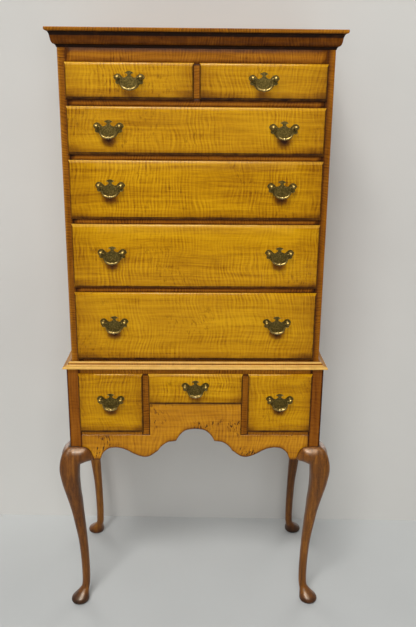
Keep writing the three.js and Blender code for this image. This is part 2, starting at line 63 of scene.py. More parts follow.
# Sizes in metres. The front faces -Y, and the origin is on the floor under the lower case.
EDGE = 0.0009  # rounding of a board's edges
WORN_EDGE = 0.0016
JOIN = 0.0006  # groove where two boards meet
SLIP = 0.0003  # gap beside a piece that slides or lifts off
RIM = 0.007  # how far the darker finish and painted shade reach in from an edge
# reach of the painted shadow under a drawer's lip and under the cornice, and of the painted shade near the
# posts
RAIL_RIM = 0.018
DIVIDER_RIM = 0.004
TINY = 1e-5

# Darker finish and painted shade: 0 is none, about 1.5 is the darkest, and below 0 the varnish is thinned by
# wear and carries a painted highlight
# painted shadow under the drawers' lips and darker finish, on the rails and dividers
RAIL_SHADE_AND_DIRT = 0.3
# painted shade on the rails under the lower side drawers
LOWER_RAIL_SHADE = 0.15
STILE_SHADES = {"left": (-0.12, 0.7), "right": (0.15, 1.1)}  # painted shade and highlight at the outer and inner corner of a front edge, darkest at the inner corner and on the right
CASE_POST_SHADE = {-1: 0.0, 1: 0.3}  # left and right; painted shade on the right post
LEG_DARKENING = {(-1, -1): 0.42, (1, -1): 0.15, (-1, 1): 0.0, (1, 1): 0.55}  # left or right, front or rear; painted shade on the rear right leg, and a darker tone on the front ones
END_SHADE = 0.5  # painted shade and darker finish where a scalloped board meets the posts
SCALLOP_RIMS = [(0.0015, 0.9), (0.006, 0.5), (0.016, 0.0)]  # heights over a scalloped edge
TOP_SHADES = (0.6, 0.0, 0.3)  # under the top, round its edge, and on it near the edge; under the top it is painted shade
CORNICE_SHADES = (1.5, 0.8)  # painted shade at its foot and top, under the overhangs, and in its cove, which faces down
CORNICE_COVE = (0.2, 0.75)  # shares of its height
WAIST_SHADES = (0.5, -0.6, 0.8)  # painted shade in its neck, wear with a painted highlight elsewhere, and dark out of sight
WAIST_NECK = (0.55, 0.74)
RETURN_WEAR_AND_HIGHLIGHT = -0.15  # a moulding's sides get less of the wear and painted highlight than its front
DOVETAIL_SHADE = 0.6
# How much darker each drawer front is all over
FRONT_DARKENING = {
    "top_left": 0.14, "top_right": 0.2, "second": 0.08, "third": 0.0, "fourth": 0.0, "fifth": 0.16,
    "lower_left": 0.14, "lower_centre": 0.06, "lower_right": 0.12,
}
LIP_SHADES = (1.1, 1.0, -0.12, 0.8)  # bottom, right, top and left of a drawer front: darker finish and painted shade at the bottom and sides, wear and a painted highlight at the top
# Reach into a drawer's face from its ends and from its top and bottom, and the shades' share there
FACE_RIMS = [(0.0, 0.0, 0.42), (0.014, 0.008, 0.3), (0.045, 0.015, 0.18), (0.075, 0.024, 0.0)]
FACE_SPREAD = 0.5  # width from which the reach from the ends is full
# Painted shadow and grime round a pull: drop below the posts, reach sideways, reach up and down, and darkness
PULL_SHADOW_AND_GRIME = [(0.014, 0.055, 0.036, 0.2), (0.037, 0.032, 0.026, 1.3)]
PULL_SHADOW_SHARES = {"top_left": 0.3, "top_right": 0.3, "lower_centre": 0.5}  # where it is less than full
PULL_SHADOW_CUTS = 9  # across a patch and down it
CUT_MERGE = 1e-4  # cuts nearer than this to a point go through it
PLATE_SHADE = 0.6
POST_SHADES = [0.9] * 8 + [0.35] * 22  # on the rings from the plate to the ball's front
BEAD_SHADES = (0.9, -0.3)  # in its grooves, and on its crown
BAIL_SHADE = 0.7  # at its ends, and none where fingers lift it

# Drawers: a front's lip is stepped and rounded over, and laps onto the case
LIP_THICKNESS = 0.008
LIP_OVERLAP = 0.004
LIP_ROUND = 0.008  # reach of the rounding at the top and bottom
LIP_SIDE_ROUND = 0.0045
LIP_STEP = 0.001
LIP_EDGE = 0.0015
LIP_CORNER = 0.0004
LIP_STEPS = 6
LAP_DEPTH = 0.003  # what hides the dovetails from the front
FRONT_CLEARANCE = 0.0008
DRAWER_SIDE = 0.010
DRAWER_BOTTOM = 0.006  # its thickness, and how far it is raised
DOVETAIL_PITCH = 0.042
PIN_SHARE = 0.42  # of the pitch, where the pins are widest
PIN_TIP_SHARE = 0.24

# Cases
RAIL_DEPTH = 0.060
FRIEZE_THICKNESS = 0.022
RUNNER_WIDTH = 0.024
RUNNER_HEIGHT = 0.018
GUIDE_HEIGHT = 0.014
CLEAT = 0.016
CASE_BOTTOM = 0.012
PARTITION = 0.012
BACK_BOARDS = 5
BACK_GAP = 0.0012
TONGUE = 0.003
NAIL_RADIUS = 0.0036
NAIL_HEIGHT = 0.0009
NAIL_INSET = 0.012
LOWER_RAIL_SHOW = 0.0115
SIDE_JOINT_SHARE = 0.58  # where the two boards of an upper side meet, from the front
BACK_JOINT_SHARE = 0.55  # where the two boards of the lower back meet, from below
CORNICE_REACH = 0.022
CORNICE_HEIGHT = 0.040
TOP_REACH = 0.0285
WAIST_REACH = 0.0255
WAIST_DROP = 0.0035
WAIST_HEIGHT = 0.0185
APRON_THICKNESS = 0.019
APRON_RISE = 0.108
SKIRT_RISE = 0.044
PATTERN_STEP = 0.003  # along a scalloped edge
SIDES = {"nail": 7, "post": 24, "washer": 20, "bolt": 12, "bead": 20, "bail": 14}  # round each

# Legs
KNEE_DROP = 0.0385  # from the apron's upper edge
LEG_STOCK = 0.077
FOOT_HEIGHT = 0.042
KNEE_SQUARENESS = 2.0
LEG_SIDES = 44
BRACKET_LENGTH = 0.036
BRACKET_ROOT = 0.004
BRACKET_HEIGHT = 0.064
BRACKET_BULGE = 0.0295
BRACKET_POWER = 1.25  # above 1 the bracket is sharper than an oval
BRACKET_SIDES = 17
LEG_VOXEL = 0.0021
LEG_SMOOTHING = 24

# Pulls
BORING = 0.0635  # between the centres of the two posts
PLATE_HALF_WIDTH = 0.043
PLATE_TOP = 0.018  # above the posts' centres
PLATE_BOTTOM = 0.034
PLATE_THICKNESS = 0.0018
PLATE_EDGE = 0.0006
POST_REACH = 0.017
BALL_RADIUS = 0.007
BALL_FLAT = 0.12  # radians left flat at a ball's front
BALL_STEPS = 12
WIRE_RADIUS = 0.0024
BAIL_DROP = 0.0305
BEAD_RADIUS = 0.0037
NUT_WIDTH = 0.009
NUT_EDGE = 0.0005

# Stage and camera
WALL_Y = 0.2955
WALL_SLOPE = -0.0289  # the wall isn't quite parallel to the case
WALL_HALF = 3.2
WALL_HEIGHT = 3.4
FLOOR_HALF = 9.0
CLOUD_SHADE = 0.93  # light left in the darker patches of the paint
CAMERA_PLACE = (-0.0031, -2.2695, 1.6389)
CAMERA_TURNS = (73.368328, -0.507828, -0.961306)  # in degrees
FOCAL_PIXELS = 713.41
IMAGE_HEIGHT = 627  # in pixels
SENSOR = 36.0  # in millimetres

# Half of the apron's lower edge, from the centre out: shares of half its length and of its rise
apron_edge_shares = [
    [(0, 1)],
    [(0.055, 0.98), (0.09, 0.94), (0.12, 0.86), (0.145, 0.76), (0.162, 0.66), (0.17, 0.61)],
    [(0.2, 0.595), (0.238, 0.575)],
    [(0.268, 0.52), (0.292, 0.455), (0.315, 0.37), (0.33, 0.29)],
    [(0.352, 0.24), (0.38, 0.165), (0.415, 0.105), (0.455, 0.088), (0.5, 0.125),
     (0.553, 0.205), (0.594, 0.285), (0.64, 0.355), (0.685, 0.39), (0.72, 0.393), (0.765, 0.365),
     (0.802, 0.28), (0.824, 0.185), (0.84, 0.05), (0.848, 0)],
]
# Half of a side skirt's lower edge, from its end to its middle
skirt_edge_shares = [
    (0.045, 0), (0.055, 0.16), (0.075, 0.42), (0.11, 0.7), (0.16, 0.88), (0.22, 0.97), (0.3, 1),
]
# Leg sections: height, centre and half width out from the corner of the case
leg_shares = [
    (1, -0.195, 0.188), (0.993, -0.11, 0.25), (0.981, -0.062, 0.3), (0.961, -0.016, 0.347),
    (0.932, 0.02, 0.383), (0.897, 0.044, 0.407), (0.86, 0.054, 0.406), (0.817, 0.042, 0.38),
    (0.768, 0.01, 0.354), (0.718, -0.036, 0.321), (0.668, -0.091, 0.299), (0.591, -0.159, 0.256),
    (0.503, -0.224, 0.23), (0.391, -0.299, 0.195), (0.28, -0.338, 0.182), (0.188, -0.354, 0.178),
    (0.12, -0.346, 0.173),
]
foot_shares = [
    (1.15, -0.318, 0.178), (0.95, -0.27, 0.205), (0.76, -0.216, 0.25), (0.58, -0.158, 0.315),
    (0.42, -0.11, 0.37), (0.24, -0.091, 0.39), (0.1, -0.091, 0.377), (0, -0.091, 0.32),
]
# Bracket sections: run from the root, bulge, and the top and bottom of the bracket's height
bracket_shares = [
    (0, 1, 1, 0), (0.257, 1, 1, 0), (0.43, 0.96, 1, 0.045), (0.6, 0.82, 0.985, 0.13),
    (0.74, 0.62, 0.92, 0.17), (0.874, 0.4, 0.76, 0.2), (0.956, 0.22, 0.54, 0.25), (1, 0.08, 0.4, 0.3),
]
# Moulding profiles in stretches that meet at an arris: shares of the reach and the height
cornice_shares = [
    [(0, 0)],
    [(0.07, 0.02)],
    [(0.11, 0.1), (0.23, 0.18), (0.41, 0.22)],
    [(0.535, 0.3), (0.625, 0.41), (0.68, 0.55), (0.725, 0.7), (0.8, 0.84), (0.91, 0.95), (1, 1)],
]
waist_shares = [
    [(1, 0)],
    [(1, 0.21)],
    [(0.96, 0.3), (0.85, 0.37), (0.65, 0.4), (0.5, 0.47), (0.44, 0.6), (0.43, 0.73)],
    [(0.34, 0.74)],
    [(0.35, 0.87), (0.3, 0.96), (0.23, 1)],
]
top_board_shares = [(0.84, 0), (0.94, 0.12), (1, 0.4), (1, 0.85), (0.975, 1)]
nail_shares = [(0, 1), (0.3, 0.95), (1, 0.3)]  # of a head's height and radius
# Half of a pull's plate, from the crown round to the bottom
plate_shares = [
    (0, 1), (0.1, 0.95), (0.2, 0.84), (0.28, 0.68), (0.19, 0.64), (0.11, 0.5), (0.12, 0.3),
    (0.24, 0.1), (0.37, 0.02), (0.47, 0.22), (0.6, 0.52), (0.76, 0.6), (0.92, 0.4), (1, 0.02),
    (0.91, -0.12), (0.86, -0.22), (0.89, -0.36), (0.8, -0.48), (0.66, -0.5), (0.58, -0.64),
    (0.47, -0.8), (0.3, -0.91), (0.15, -0.94), (0, -1),
]
# A bail from its end in the ball to its middle: half the boring, the drop and the wire's radius
bail_shares = [
    (0.93, 0, 0.8), (0.785, 0, 0.85), (0.72, -0.055, 0.9), (0.69, -0.19, 0.95), (0.68, -0.42, 0.95),
    (0.64, -0.66, 1.05), (0.5, -0.86, 1.2), (0.28, -0.965, 1.28), (0.13, -0.995, 0.9), (0, -1, 0.8),
]
# The bead at a bail's middle, from its centre out: shares of its radius, along and across
bead_shares = [
    (0, 1), (0.45, 0.93), (0.8, 0.7), (0.95, 0.5), (1.1, 0.55), (1.3, 0.78), (1.55, 0.72), (1.7, 0.5),
]
# A washer and a bolt's end: distances from the drawer's inside and radii, in metres
washer_profile = [(0, 0.0062), (0.0007, 0.0062), (0.001, 0.0059)]
bolt_profile = [(0.0042, 0.0019), (0.007, 0.0019), (0.0075, 0.00133)]
# A post from the plate to the ball: shares of its reach and of the ball's radius
post_shares = [
    (0.1, 0.8), (0.17, 0.8), (0.2, 0.68), (0.27, 0.52), (0.42, 0.45), (0.56, 0.46), (0.62, 0.55),
]

# Planes of the two cases, read from the frame
side_low, side_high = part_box("upper_side_left")
upper_half, upper_inner = -side_low.x, -side_high.x
upper_front, rear = side_low.y, side_high.y
joint_height, upper_top = side_low.z, side_high.z
skirt_low, skirt_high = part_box("lower_side_left")
lower_half, skirt_inner = -skirt_low.x, -skirt_high.x
apron_low, apron_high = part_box("apron")
lower_front, apron_tip, post_inner = apron_low.y, apron_low.z, apron_high.x
post_size = skirt_low.y - lower_front
drawer_names = [body[len("drawer_"):] for body in frame["bodies"] if body.startswith("drawer_")]
fronts = {name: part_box("drawer_front_" + name) for name in drawer_names}
boxes = {name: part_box("drawer_box_" + name) for name in drawer_names}
pulls = [body[len("bail_"):] for body in frame["bodies"] if body.startswith("bail_")]
apron_top = fronts["lower_left"][0].z - LOWER_RAIL_SHOW
centre_run_top = fronts["lower_centre"][0].z + LIP_OVERLAP
lower_rail_top = fronts["lower_left"][0].z + LIP_OVERLAP
lower_rail_bottom = fronts["lower_left"][1].z - LIP_OVERLAP
divider_inner = fronts["lower_centre"][1].x - LIP_OVERLAP
divider_outer = fronts["lower_right"][0].x + LIP_OVERLAP
lower_back_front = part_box("lower_back")[0].y
cleat_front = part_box("upper_back")[0].y - CLEAT


# Curves
def spline(knots, steps):
    """Points on a smooth curve through the knots."""
    knots = np.array(knots, float)
    line = np.vstack([2 * knots[0] - knots[1], knots, 2 * knots[-1] - knots[-2]])
    points = []
    for a, b, c, d in zip(line, line[1:], line[2:], line[3:]):
        for t in turns(steps, end=1.0):
            bend = (c - a) * t + (2 * a - 5 * b + 4 * c - d) * t**2 + (3 * b - a - 3 * c + d) * t**3
            points.append(b + bend / 2)
    return np.array(points + [knots[-1]])


def stretches(groups, steps):
    """One line through stretches that meet at sharp corners, each from where the last one ends."""
    line = groups[0]
    for group in groups[1:]:
        knots = np.array([line[-1], *group], float)
        line = [*line, *(spline(knots, steps) if len(group) > 1 else knots)[1:].tolist()]
    return line


def sized(shares, along, up, base=0.0):
    """Points from shares of two sizes, the second up from a base."""
    return [(a * along, base + b * up) for a, b in shares]


def turns(count, start=0.0, end=2 * math.pi):
    """Even steps from the start up to the end, without the end."""
    return [start + (end - start) * i / count for i in range(count)]


def added(name, data):
    """A new object in the scene."""
    made = bpy.data.objects.new(name, data)
    bpy.context.scene.collection.objects.link(made)
    return made


class Piece:
    """One visible piece. Its points know where they lie in the wood they were cut from."""

    def __init__(self, name):
        self.name = name
        self.mesh = bmesh.new()
        layers = self.mesh.verts.layers
        self.grain = layers.float_vector.new("grain")
        self.rim = layers.float.new("rim")
        self.tone = layers.float.new("tone")
        self.random = random.Random(name)
        self.material = 0  # which of the piece's materials new faces take
        self.cut("XZ")

    def cut(self, axes, dirt=0.0):
        """Starts another board, with its grain along the first axis and its width along the second."""
        self.dirt = dirt
        first = ["XYZ".index(axis) for axis in axes]
        self.order = first + [3 - sum(first)]
        self.offset = [self.random.uniform(-9, 9) for _ in range(3)]
        self.board_tone = self.random.uniform(-1, 1)

    def point(self, place, rim=0.0):
        vert = self.mesh.verts.new(place)
        vert[self.grain] = Vector([place[i] + self.offset[k] for k, i in enumerate(self.order)])
        vert[self.rim] = rim + self.dirt
        vert[self.tone] = self.board_tone
        return vert

    def face(self, corners):
        self.mesh.faces.new(corners).material_index = self.material

    def loft(self, rings, rims=0.0):
        """A closed skin through rings of points. Rims tell how dark the finish and painted shade are at each.
        """
        count = len(rings[0])
        rims = np.broadcast_to(np.array(rims, float), (len(rings), count))
        rows = [[self.point(p, rim) for p, rim in zip(ring, line)] for ring, line in zip(rings, rims)]
        for low, high in zip(rows, rows[1:]):
            for i in range(count):
                j = (i + 1) % count
                self.face((low[i], low[j], high[j], high[i]))
        self.face(rows[0][::-1])
        self.face(rows[-1])

    def board(self, x, y, z, axes, edge=EDGE, rim=RIM, dirt=0.0):
        """A board with rounded edges, and loops that keep the darker finish and painted shade near them."""
        self.cut(axes, dirt)
        spans = [(x, y, z)[i] for i in self.order]
        middle = [(low + high) / 2 for low, high in spans]
        length, width, depth = [(high - low) / 2 for low, high in spans]
        edge = min(edge, width / 3, depth / 3)
        rim_length, rim_width, rim_depth = [min(rim, 0.95 * half) for half in (length, width, depth)]

        def section(along, inset, radius, across, down):
            wide, deep = width - inset, depth - inset
            ring = []
            for quarter, (a, b) in enumerate(((1, 1), (-1, 1), (-1, -1), (1, -1))):
                for step in range(3):
                    turn = math.pi / 2 * (quarter + step / 2)
                    v, w = radius * math.cos(turn), radius * math.sin(turn)
                    ring.append((a * (wide - radius) + v, b * (deep - radius) + w))
                if quarter % 2:
                    ring += [(a * wide, b * down), (a * wide, -b * down)]
                else:
                    ring += [(a * across, b * deep), (-a * across, b * deep)]
            points = np.empty((len(ring), 3))
            points[:, self.order] = [(middle[0] + along, middle[1] + v, middle[2] + w) for v, w in ring]
            return points.tolist()

        across, down = width - rim_width, depth - rim_depth
        turned = edge * (1 - math.sqrt(0.5))
        loops = [(0, edge, edge / 8), (turned, turned, edge - turned), (edge, 0, edge)]
        loops.append((max(rim_length, 1.5 * edge), 0, edge))
        ends = [(0, min(rim_width, rim_depth), edge / 8, across / 2, down / 2)]
        ends += [(*loop, across, down) for loop in loops]
        rings = [section(back - length, *shape) for back, *shape in ends]
        rings += [section(length - back, *shape) for back, *shape in ends[::-1]]
        rims = [[0.0] * 20, *[[1.0] * 20] * 3, [1.0, 1.0, 1.0, 0.0, 0.0] * 4]
        self.loft(rings, rims + rims[::-1])

    def lathe(self, profile, centre, sides, rims=0.0, axis=1, sign=1):
        """Rings round an axis through the centre. The profile gives distances along it and radii."""
        rings = []
        for along, radius in profile:
            shifts = [[radius * math.cos(turn), radius * math.sin(turn)] for turn in turns(sides)]
            rings.append([np.add(centre, np.insert(shift, axis, sign * along)) for shift in shifts])
        self.loft(rings, np.array(rims, float).reshape(-1, 1))

    def take(self, mesh, axes, rim):
        """Adds a mesh's points and faces as one more board."""
        self.cut(axes)
        verts = [self.point(v.co, rim(v.co)) for v in mesh.vertices]
        for face in mesh.polygons:
            self.face([verts[i] for i in face.vertices])

    def bake(self):
        """A plain object of the faces, all turned outwards."""
        bmesh.ops.recalc_face_normals(self.mesh, faces=self.mesh.faces)
        data = bpy.data.meshes.new(self.name)
        self.mesh.to_mesh(data)
        self.mesh.free()
        return added(self.name, data)

    def finish(self, materials, *nodes, body="case", slot="case_maple", sharp=35):
        """Makes the object, hides the nodes it stands for, and sets it on the body it rides on."""
        piece = self.bake()
        piece.data.shade_smooth()
        piece.data.set_sharp_from_angle(angle=math.radians(sharp))
        for material in materials:
            piece.data.materials.append(material)
        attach(piece, body)
        if nodes:
            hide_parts(*nodes)


# Materials
def srgb(*levels):
    """A colour given as 0 to 255 on a screen, as linear light."""
    shares = [level / 255 for level in levels]
    return (*[s / 12.92 if s < 0.0404 else ((s + 0.055) / 1.055) ** 2.4 for s in shares], 1.0)


class Finish:
    """A material, or the world, built from nodes. Noises repeat so many times in a metre."""

    def __init__(self, data, shader="Principled BSDF"):
        self.data = data
        data.use_nodes = True
        self.nodes = data.node_tree.nodes
        self.links = data.node_tree.links
        self.shader = self.nodes[shader]

    def put(self, socket, value):
        if isinstance(value, bpy.types.NodeSocket):
            self.links.new(value, socket)
        else:
            socket.default_value = value

    def node(self, kind, values, output=0, **settings):
        node = self.nodes.new("ShaderNode" + kind)
        for key, value in settings.items():
            setattr(node, key, value)
        for key, value in values.items():
            self.put(node.inputs[key], value)
        return node.outputs[output]

    def attribute(self, name, output="Fac"):
        return self.node("Attribute", {}, output, attribute_name=name)

    def math(self, operation, a, b=0.0, clamp=False):
        return self.node("Math", {0: a, 1: b}, operation=operation, use_clamp=clamp)

    def times(self, a, b, clamp=False):
        return self.math("MULTIPLY", a, b, clamp)

    def sum(self, total, *values):
        for value in values:
            total = self.math("ADD", total, value)
        return total

    def vector(self, operation, a, b):
        return self.node("VectorMath", {0: a, 1: b}, operation=operation)

    def noise(self, place, along, across, detail=2.0, roughness=0.5, output=0):
        """A noise of so many waves in a metre along the grain and across it."""
        place = self.vector("MULTIPLY", place, (along, across, across))
        values = {"Vector": place, "Scale": 1.0, "Detail": detail, "Roughness": roughness}
        return self.node("TexNoise", values, output)

    def warp(self, place, drift, middle, reach):
        """A place pushed about by a slow noise, by up to the reach along the grain and across it."""
        push = self.vector("SUBTRACT", drift, [middle] * 3)
        push = self.vector("MULTIPLY", push, (reach[0], reach[1], reach[1]))
        return self.vector("ADD", place, push)

    def swing(self, value, size):
        """A noise value as a push to either side of nothing."""
        return self.times(self.math("SUBTRACT", value, 0.5), size)

    def spread(self, value, low, high, start=0.0, end=1.0):
        return self.node("MapRange", {0: value, 1: low, 2: high, 3: start, 4: end})

    def mix(self, factor, a, b, blend_type="MIX"):
        return self.node("Mix", {0: factor, 6: a, 7: b}, 2, data_type="RGBA", blend_type=blend_type)

    def ramp(self, value, stops):
        node = self.nodes.new("ShaderNodeValToRGB")
        self.put(node.inputs[0], value)
        elements = node.color_ramp.elements
        while len(elements) < len(stops):
            elements.new(0.5)
        for element, (position, colour) in zip(elements, stops):
            element.position = position
            element.color = colour
        return node.outputs[0]

    def bump(self, height, strength, distance):
        values = {"Strength": strength, "Distance": distance, "Height": height}
        self.put(self.shader.inputs["Normal"], self.node("Bump", values))

    def set(self, **values):
        for key, value in values.items():
            self.put(self.shader.inputs[key.replace("_", " ")], value)
        return self.data


WEAR_AND_HIGHLIGHT = srgb(246, 198, 104)  # varnish thinned by wear along raised edges, with a painted highlight there
STAIN_AND_SHADE = (0.5, 0.37, 0.3, 1.0)  # what old varnish does to the colour under it, and the tint of painted shade
SHEEN_TINT = (1.0, 0.84, 0.62, 1.0)
SATIN = (0.05, 0.14, 0.18)  # specular level, coat and the coat's roughness
# Maple by part: deep, middle and pale wood, the darkest finish and painted shade, and how the figure differs
MAPLES = {
    "drawer": (
        [(136, 84, 2), (184, 130, 4), (208, 156, 14), (38, 16, 4)],
        {"lines": 1.4, "specks": 0.4, "varnish": (0.05, 0.2, 0.14)},
    ),
    "apron": (
        [(122, 68, 4), (176, 116, 10), (202, 142, 24), (50, 24, 8)],
        {"curl": 0.8, "specks": 1.0},
    ),
    "case": (
        [(98, 52, 4), (144, 87, 12), (172, 112, 22), (28, 11, 2)],
        {"curl": 1.2, "pitch": 0.008, "specks": 0.4, "varnish": SATIN},
    ),
    "leg": (
        [(66, 33, 4), (116, 67, 12), (160, 104, 28), (30, 14, 4)],
        {"curl": 0.1, "lines": 1.6, "specks": 0.3, "varnish": (0.34, 0.2, 0.2)},
    ),
    "post": (
        [(90, 44, 6), (130, 73, 12), (156, 96, 22), (34, 14, 2)],
        {"curl": 0.35, "lines": 1.5, "specks": 0.3, "varnish": SATIN},
    ),
}


def maple(part, curl=1.0, pitch=0.0105, lines=1.0, specks=0.5, varnish=(0.1, 0.3, 0.14)):
    """Curly maple under old varnish: stripes a pitch apart, growth lines, blotches, dark flecks, darker
    finish and painted shade along the edges, and wear with a painted highlight on raised ones."""
    f = Finish(bpy.data.materials.new(part + "_maple"))
    deep, middle, pale, edge = [srgb(*colour) for colour in MAPLES[part][0]]
    grain = f.attribute("grain", "Vector")
    rim = f.attribute("rim")
    bent = f.warp(grain, f.noise(grain, 3.5, 6, output=1), 0.5, (0.07, 0.03))
    wander = f.noise(grain, 16, 9, 2.0, 0.6)
    along = f.node("SeparateXYZ", {0: bent})
    wave = f.math("SINE", f.sum(f.times(along, 2 * math.pi / pitch), f.swing(wander, 16.0)))
    fine = f.noise(bent, 420, 16, 3.0, 0.6)
    patch = f.spread(f.noise(grain, 7, 11), 0.36, 0.64, 0.2, 1.0)
    stripes = f.times(f.sum(f.times(wave, 0.13 * curl), f.swing(fine, 1.1 * curl)), patch)
    growth = f.noise(bent, 2.5, 110, 3.0, 0.6)
    pores = f.noise(grain, 34, 760, 2.0, 0.6)
    blotch = f.noise(grain, 5, 11, 3.0, 0.55)
    grown = [f.swing(growth, 0.7 * lines), f.swing(pores, 0.4 * lines), f.swing(blotch, 0.6)]
    figure = f.sum(0.5, stripes, *grown, f.times(f.attribute("tone"), 0.07))
    colour = f.ramp(figure, [(0.12, deep), (0.5, middle), (0.9, pale)])
    flecks = f.spread(f.noise(bent, 150, 55, 2.0, 0.6), 0.55, 0.64)
    cluster = f.spread(f.noise(grain, 8, 10, 1.0), 0.5, 0.62)
    flecks = f.times(f.times(flecks, cluster), specks)
    colour = f.mix(flecks, colour, STAIN_AND_SHADE, blend_type="MULTIPLY")
    colour = f.mix(f.times(flecks, flecks), colour, edge)
    smudge = f.spread(f.noise(grain, 40, 60, 3.0), 0.3, 0.7, 0.85, 1.15)
    # the rim attribute: darker finish and painted shade, and below zero wear with a painted highlight
    shade = f.times(f.times(rim, smudge), 0.7, clamp=True)
    colour = f.mix(f.spread(shade, 0.0, 0.6), colour, STAIN_AND_SHADE, blend_type="MULTIPLY")
    colour = f.mix(f.spread(shade, 0.3, 1.0), colour, edge)
    lightened = f.times(f.times(rim, -1.0, clamp=True), smudge, clamp=True)
    colour = f.mix(lightened, colour, WEAR_AND_HIGHLIGHT)
    rough = f.sum(0.36, f.swing(blotch, 0.25), f.swing(fine, 0.12), f.times(shade, 0.12))
    f.bump(f.sum(f.times(wave, 0.12), f.swing(pores, 0.8), f.swing(growth, 0.5)), 0.35, 0.0003)
    level, coat, coat_rough = varnish
    f.set(Specular_IOR_Level=level, Specular_Tint=SHEEN_TINT, Coat_Weight=coat, Coat_Roughness=coat_rough)
    return f.set(Base_Color=colour, Roughness=rough)


def bare_wood():
    """Unvarnished boards inside the case: plain grain, dry and rough, grey-brown where handled."""
    f = Finish(bpy.data.materials.new("inner_wood"))
    stops = [(0.1, srgb(118, 80, 40)), (0.5, srgb(172, 128, 70)), (0.92, srgb(200, 162, 104))]
    grain = f.attribute("grain", "Vector")
    bent = f.warp(grain, f.noise(grain, 1.6, 5, 1.0, output=1), 0.0, (0.03, 0.05))
    growth = f.noise(bent, 1.6, 120, 2.0, 0.6)
    fibre = f.noise(grain, 26, 620, 3.0, 0.6)
    stain = f.noise(grain, 6, 9, 4.0, 0.6)
    saw = f.noise(grain, 210, 3, 1.0)
    tone = f.times(f.attribute("tone"), 0.12)
    figure = f.sum(0.5, f.swing(growth, 1.6), f.swing(fibre, 0.7), f.swing(stain, 1.3), tone)
    colour = f.mix(f.times(f.attribute("rim"), 0.5), f.ramp(figure, stops), srgb(84, 56, 28))
    f.bump(f.sum(f.swing(fibre, 1.0), f.swing(growth, 0.8), f.swing(saw, 0.6)), 0.5, 0.0004)
    f.set(Specular_IOR_Level=0.15)
    return f.set(Base_Color=colour, Roughness=f.spread(fibre, 0.3, 0.7, 0.62, 0.8))


def old_brass(name):
    """Cast brass gone dark and olive, cleaner where fingers rub it."""
    f = Finish(bpy.data.materials.new(name))
    place = f.attribute("grain", "Vector")
    patina = f.noise(place, 260, 260, 4.0, 0.65)
    pits = f.noise(place, 1500, 1500)
    age = f.sum(f.spread(patina, 0.2, 0.8), f.swing(pits, 0.5), f.times(f.attribute("rim"), -0.6))
    stops = [(0.0, srgb(74, 62, 26)), (0.45, srgb(128, 108, 54)), (1.0, srgb(182, 164, 118))]
    f.bump(f.sum(f.swing(patina, 0.6), f.swing(pits, 0.5)), 0.4, 0.0003)
    return f.set(Base_Color=f.ramp(age, stops), Roughness=f.spread(age, 0.0, 1.0, 0.45, 0.3), Metallic=0.9)


# Upper case
def upper_sides(wood):
    """Each side is two boards glued edge to edge."""
    joint = upper_front + SIDE_JOINT_SHARE * (rear - upper_front)
    for name, x in (("left", (-upper_half, -upper_inner)), ("right", (upper_inner, upper_half))):
        piece = Piece(name + "_upper_side")
        for y in ((upper_front, joint), (joint, rear)):
            piece.board(x, y, (joint_height, upper_top), "ZY", edge=JOIN)
        # painted shade on the front edge, deepest at the inner corner beside the drawers
        outer, inner = STILE_SHADES[name]
        for vert in piece.mesh.verts:
            if vert.co.y < upper_front + EDGE:
                share = (upper_half - abs(vert.co.x)) / (upper_half - upper_inner)
                vert[piece.rim] = outer + (inner - outer) * share**1.5
        piece.finish([wood], "upper_side_" + name)


def upper_back(wood, iron):
    """Upright boards with a tongue in each joint, nailed at the top, the middle and the bottom."""
    low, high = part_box("upper_back")
    width = (high.x - low.x) / BACK_BOARDS
    middle = (low.y + high.y) / 2
    tongue = (middle - TONGUE / 2, middle + TONGUE / 2)
    piece, nails = Piece("upper_back_boards"), Piece("upper_back_nails")
    head = sized(nail_shares, NAIL_HEIGHT, NAIL_RADIUS)
    for i in range(BACK_BOARDS):
        seam = low.x + i * width
        left = seam + (BACK_GAP / 2 if i else 0)
        right = low.x + (i + 1) * width - (BACK_GAP / 2 if i < BACK_BOARDS - 1 else 0)
        piece.board((left, right), (low.y, high.y), (low.z, high.z), "ZX", edge=JOIN)
        if i:
            x = (seam - 2 * BACK_GAP, seam + 2 * BACK_GAP)
            piece.board(x, tongue, (low.z + EDGE, high.z - EDGE), "ZX")
        for z in (low.z + NAIL_INSET, fronts["top_left"][0].z - NAIL_INSET / 2, high.z - NAIL_INSET):
            for x in (left + 2 * NAIL_INSET, right - 2 * NAIL_INSET):
                nails.lathe(head, (x, rear, z), SIDES["nail"])
    piece.finish([wood], "upper_back", slot="inner_wood")
    nails.finish([iron], slot="brass")


def top_board(wood):
    """The top, with its edge rounded over at the front and sides."""
    low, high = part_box("upper_top_board")

    def ring(reach, z, inset=0.0, back=0.0):
        half, front = upper_half + reach - inset, upper_front - reach + inset
        return [(-half, rear - back, z), (-half, front, z), (half, front, z), (half, rear - back, z)]

    profile = sized(spline(top_board_shares, 4), TOP_REACH, high.z - low.z, low.z)
    rings = [ring(*profile[0], RIM, EDGE)] + [ring(*p) for p in profile]
    rings += [ring(profile[-1][0], high.z, inset, inset) for inset in (RIM, 4 * RIM)]
    piece = Piece("top_board")
    # painted shade under the top
    under, edge, over = TOP_SHADES
    piece.loft(rings, [[under]] + [[edge]] * len(profile) + [[over], [0.0]])
    piece.finish([wood], "upper_top_board")


def moulding(name, profile, rims, wood, node):
    """A moulding along one side, the front and the other side, mitred at the corners."""
    piece = Piece(name)
    corners = [
        [(side * (upper_half + r), upper_front - r if front else rear, z) for r, z in profile]
        for side, front in ((-1, False), (-1, True), (1, True), (1, False))
    ]
    for start, end, axes in zip(corners, corners[1:], ("YZ", "XZ", "YZ")):
        piece.cut(axes)
        # the sides get less of the wear and painted highlight
        level = [rim if axes == "XZ" else max(rim, RETURN_WEAR_AND_HIGHLIGHT) for rim in rims]
        piece.loft([start, end], [level, level])
    piece.finish([wood], node)


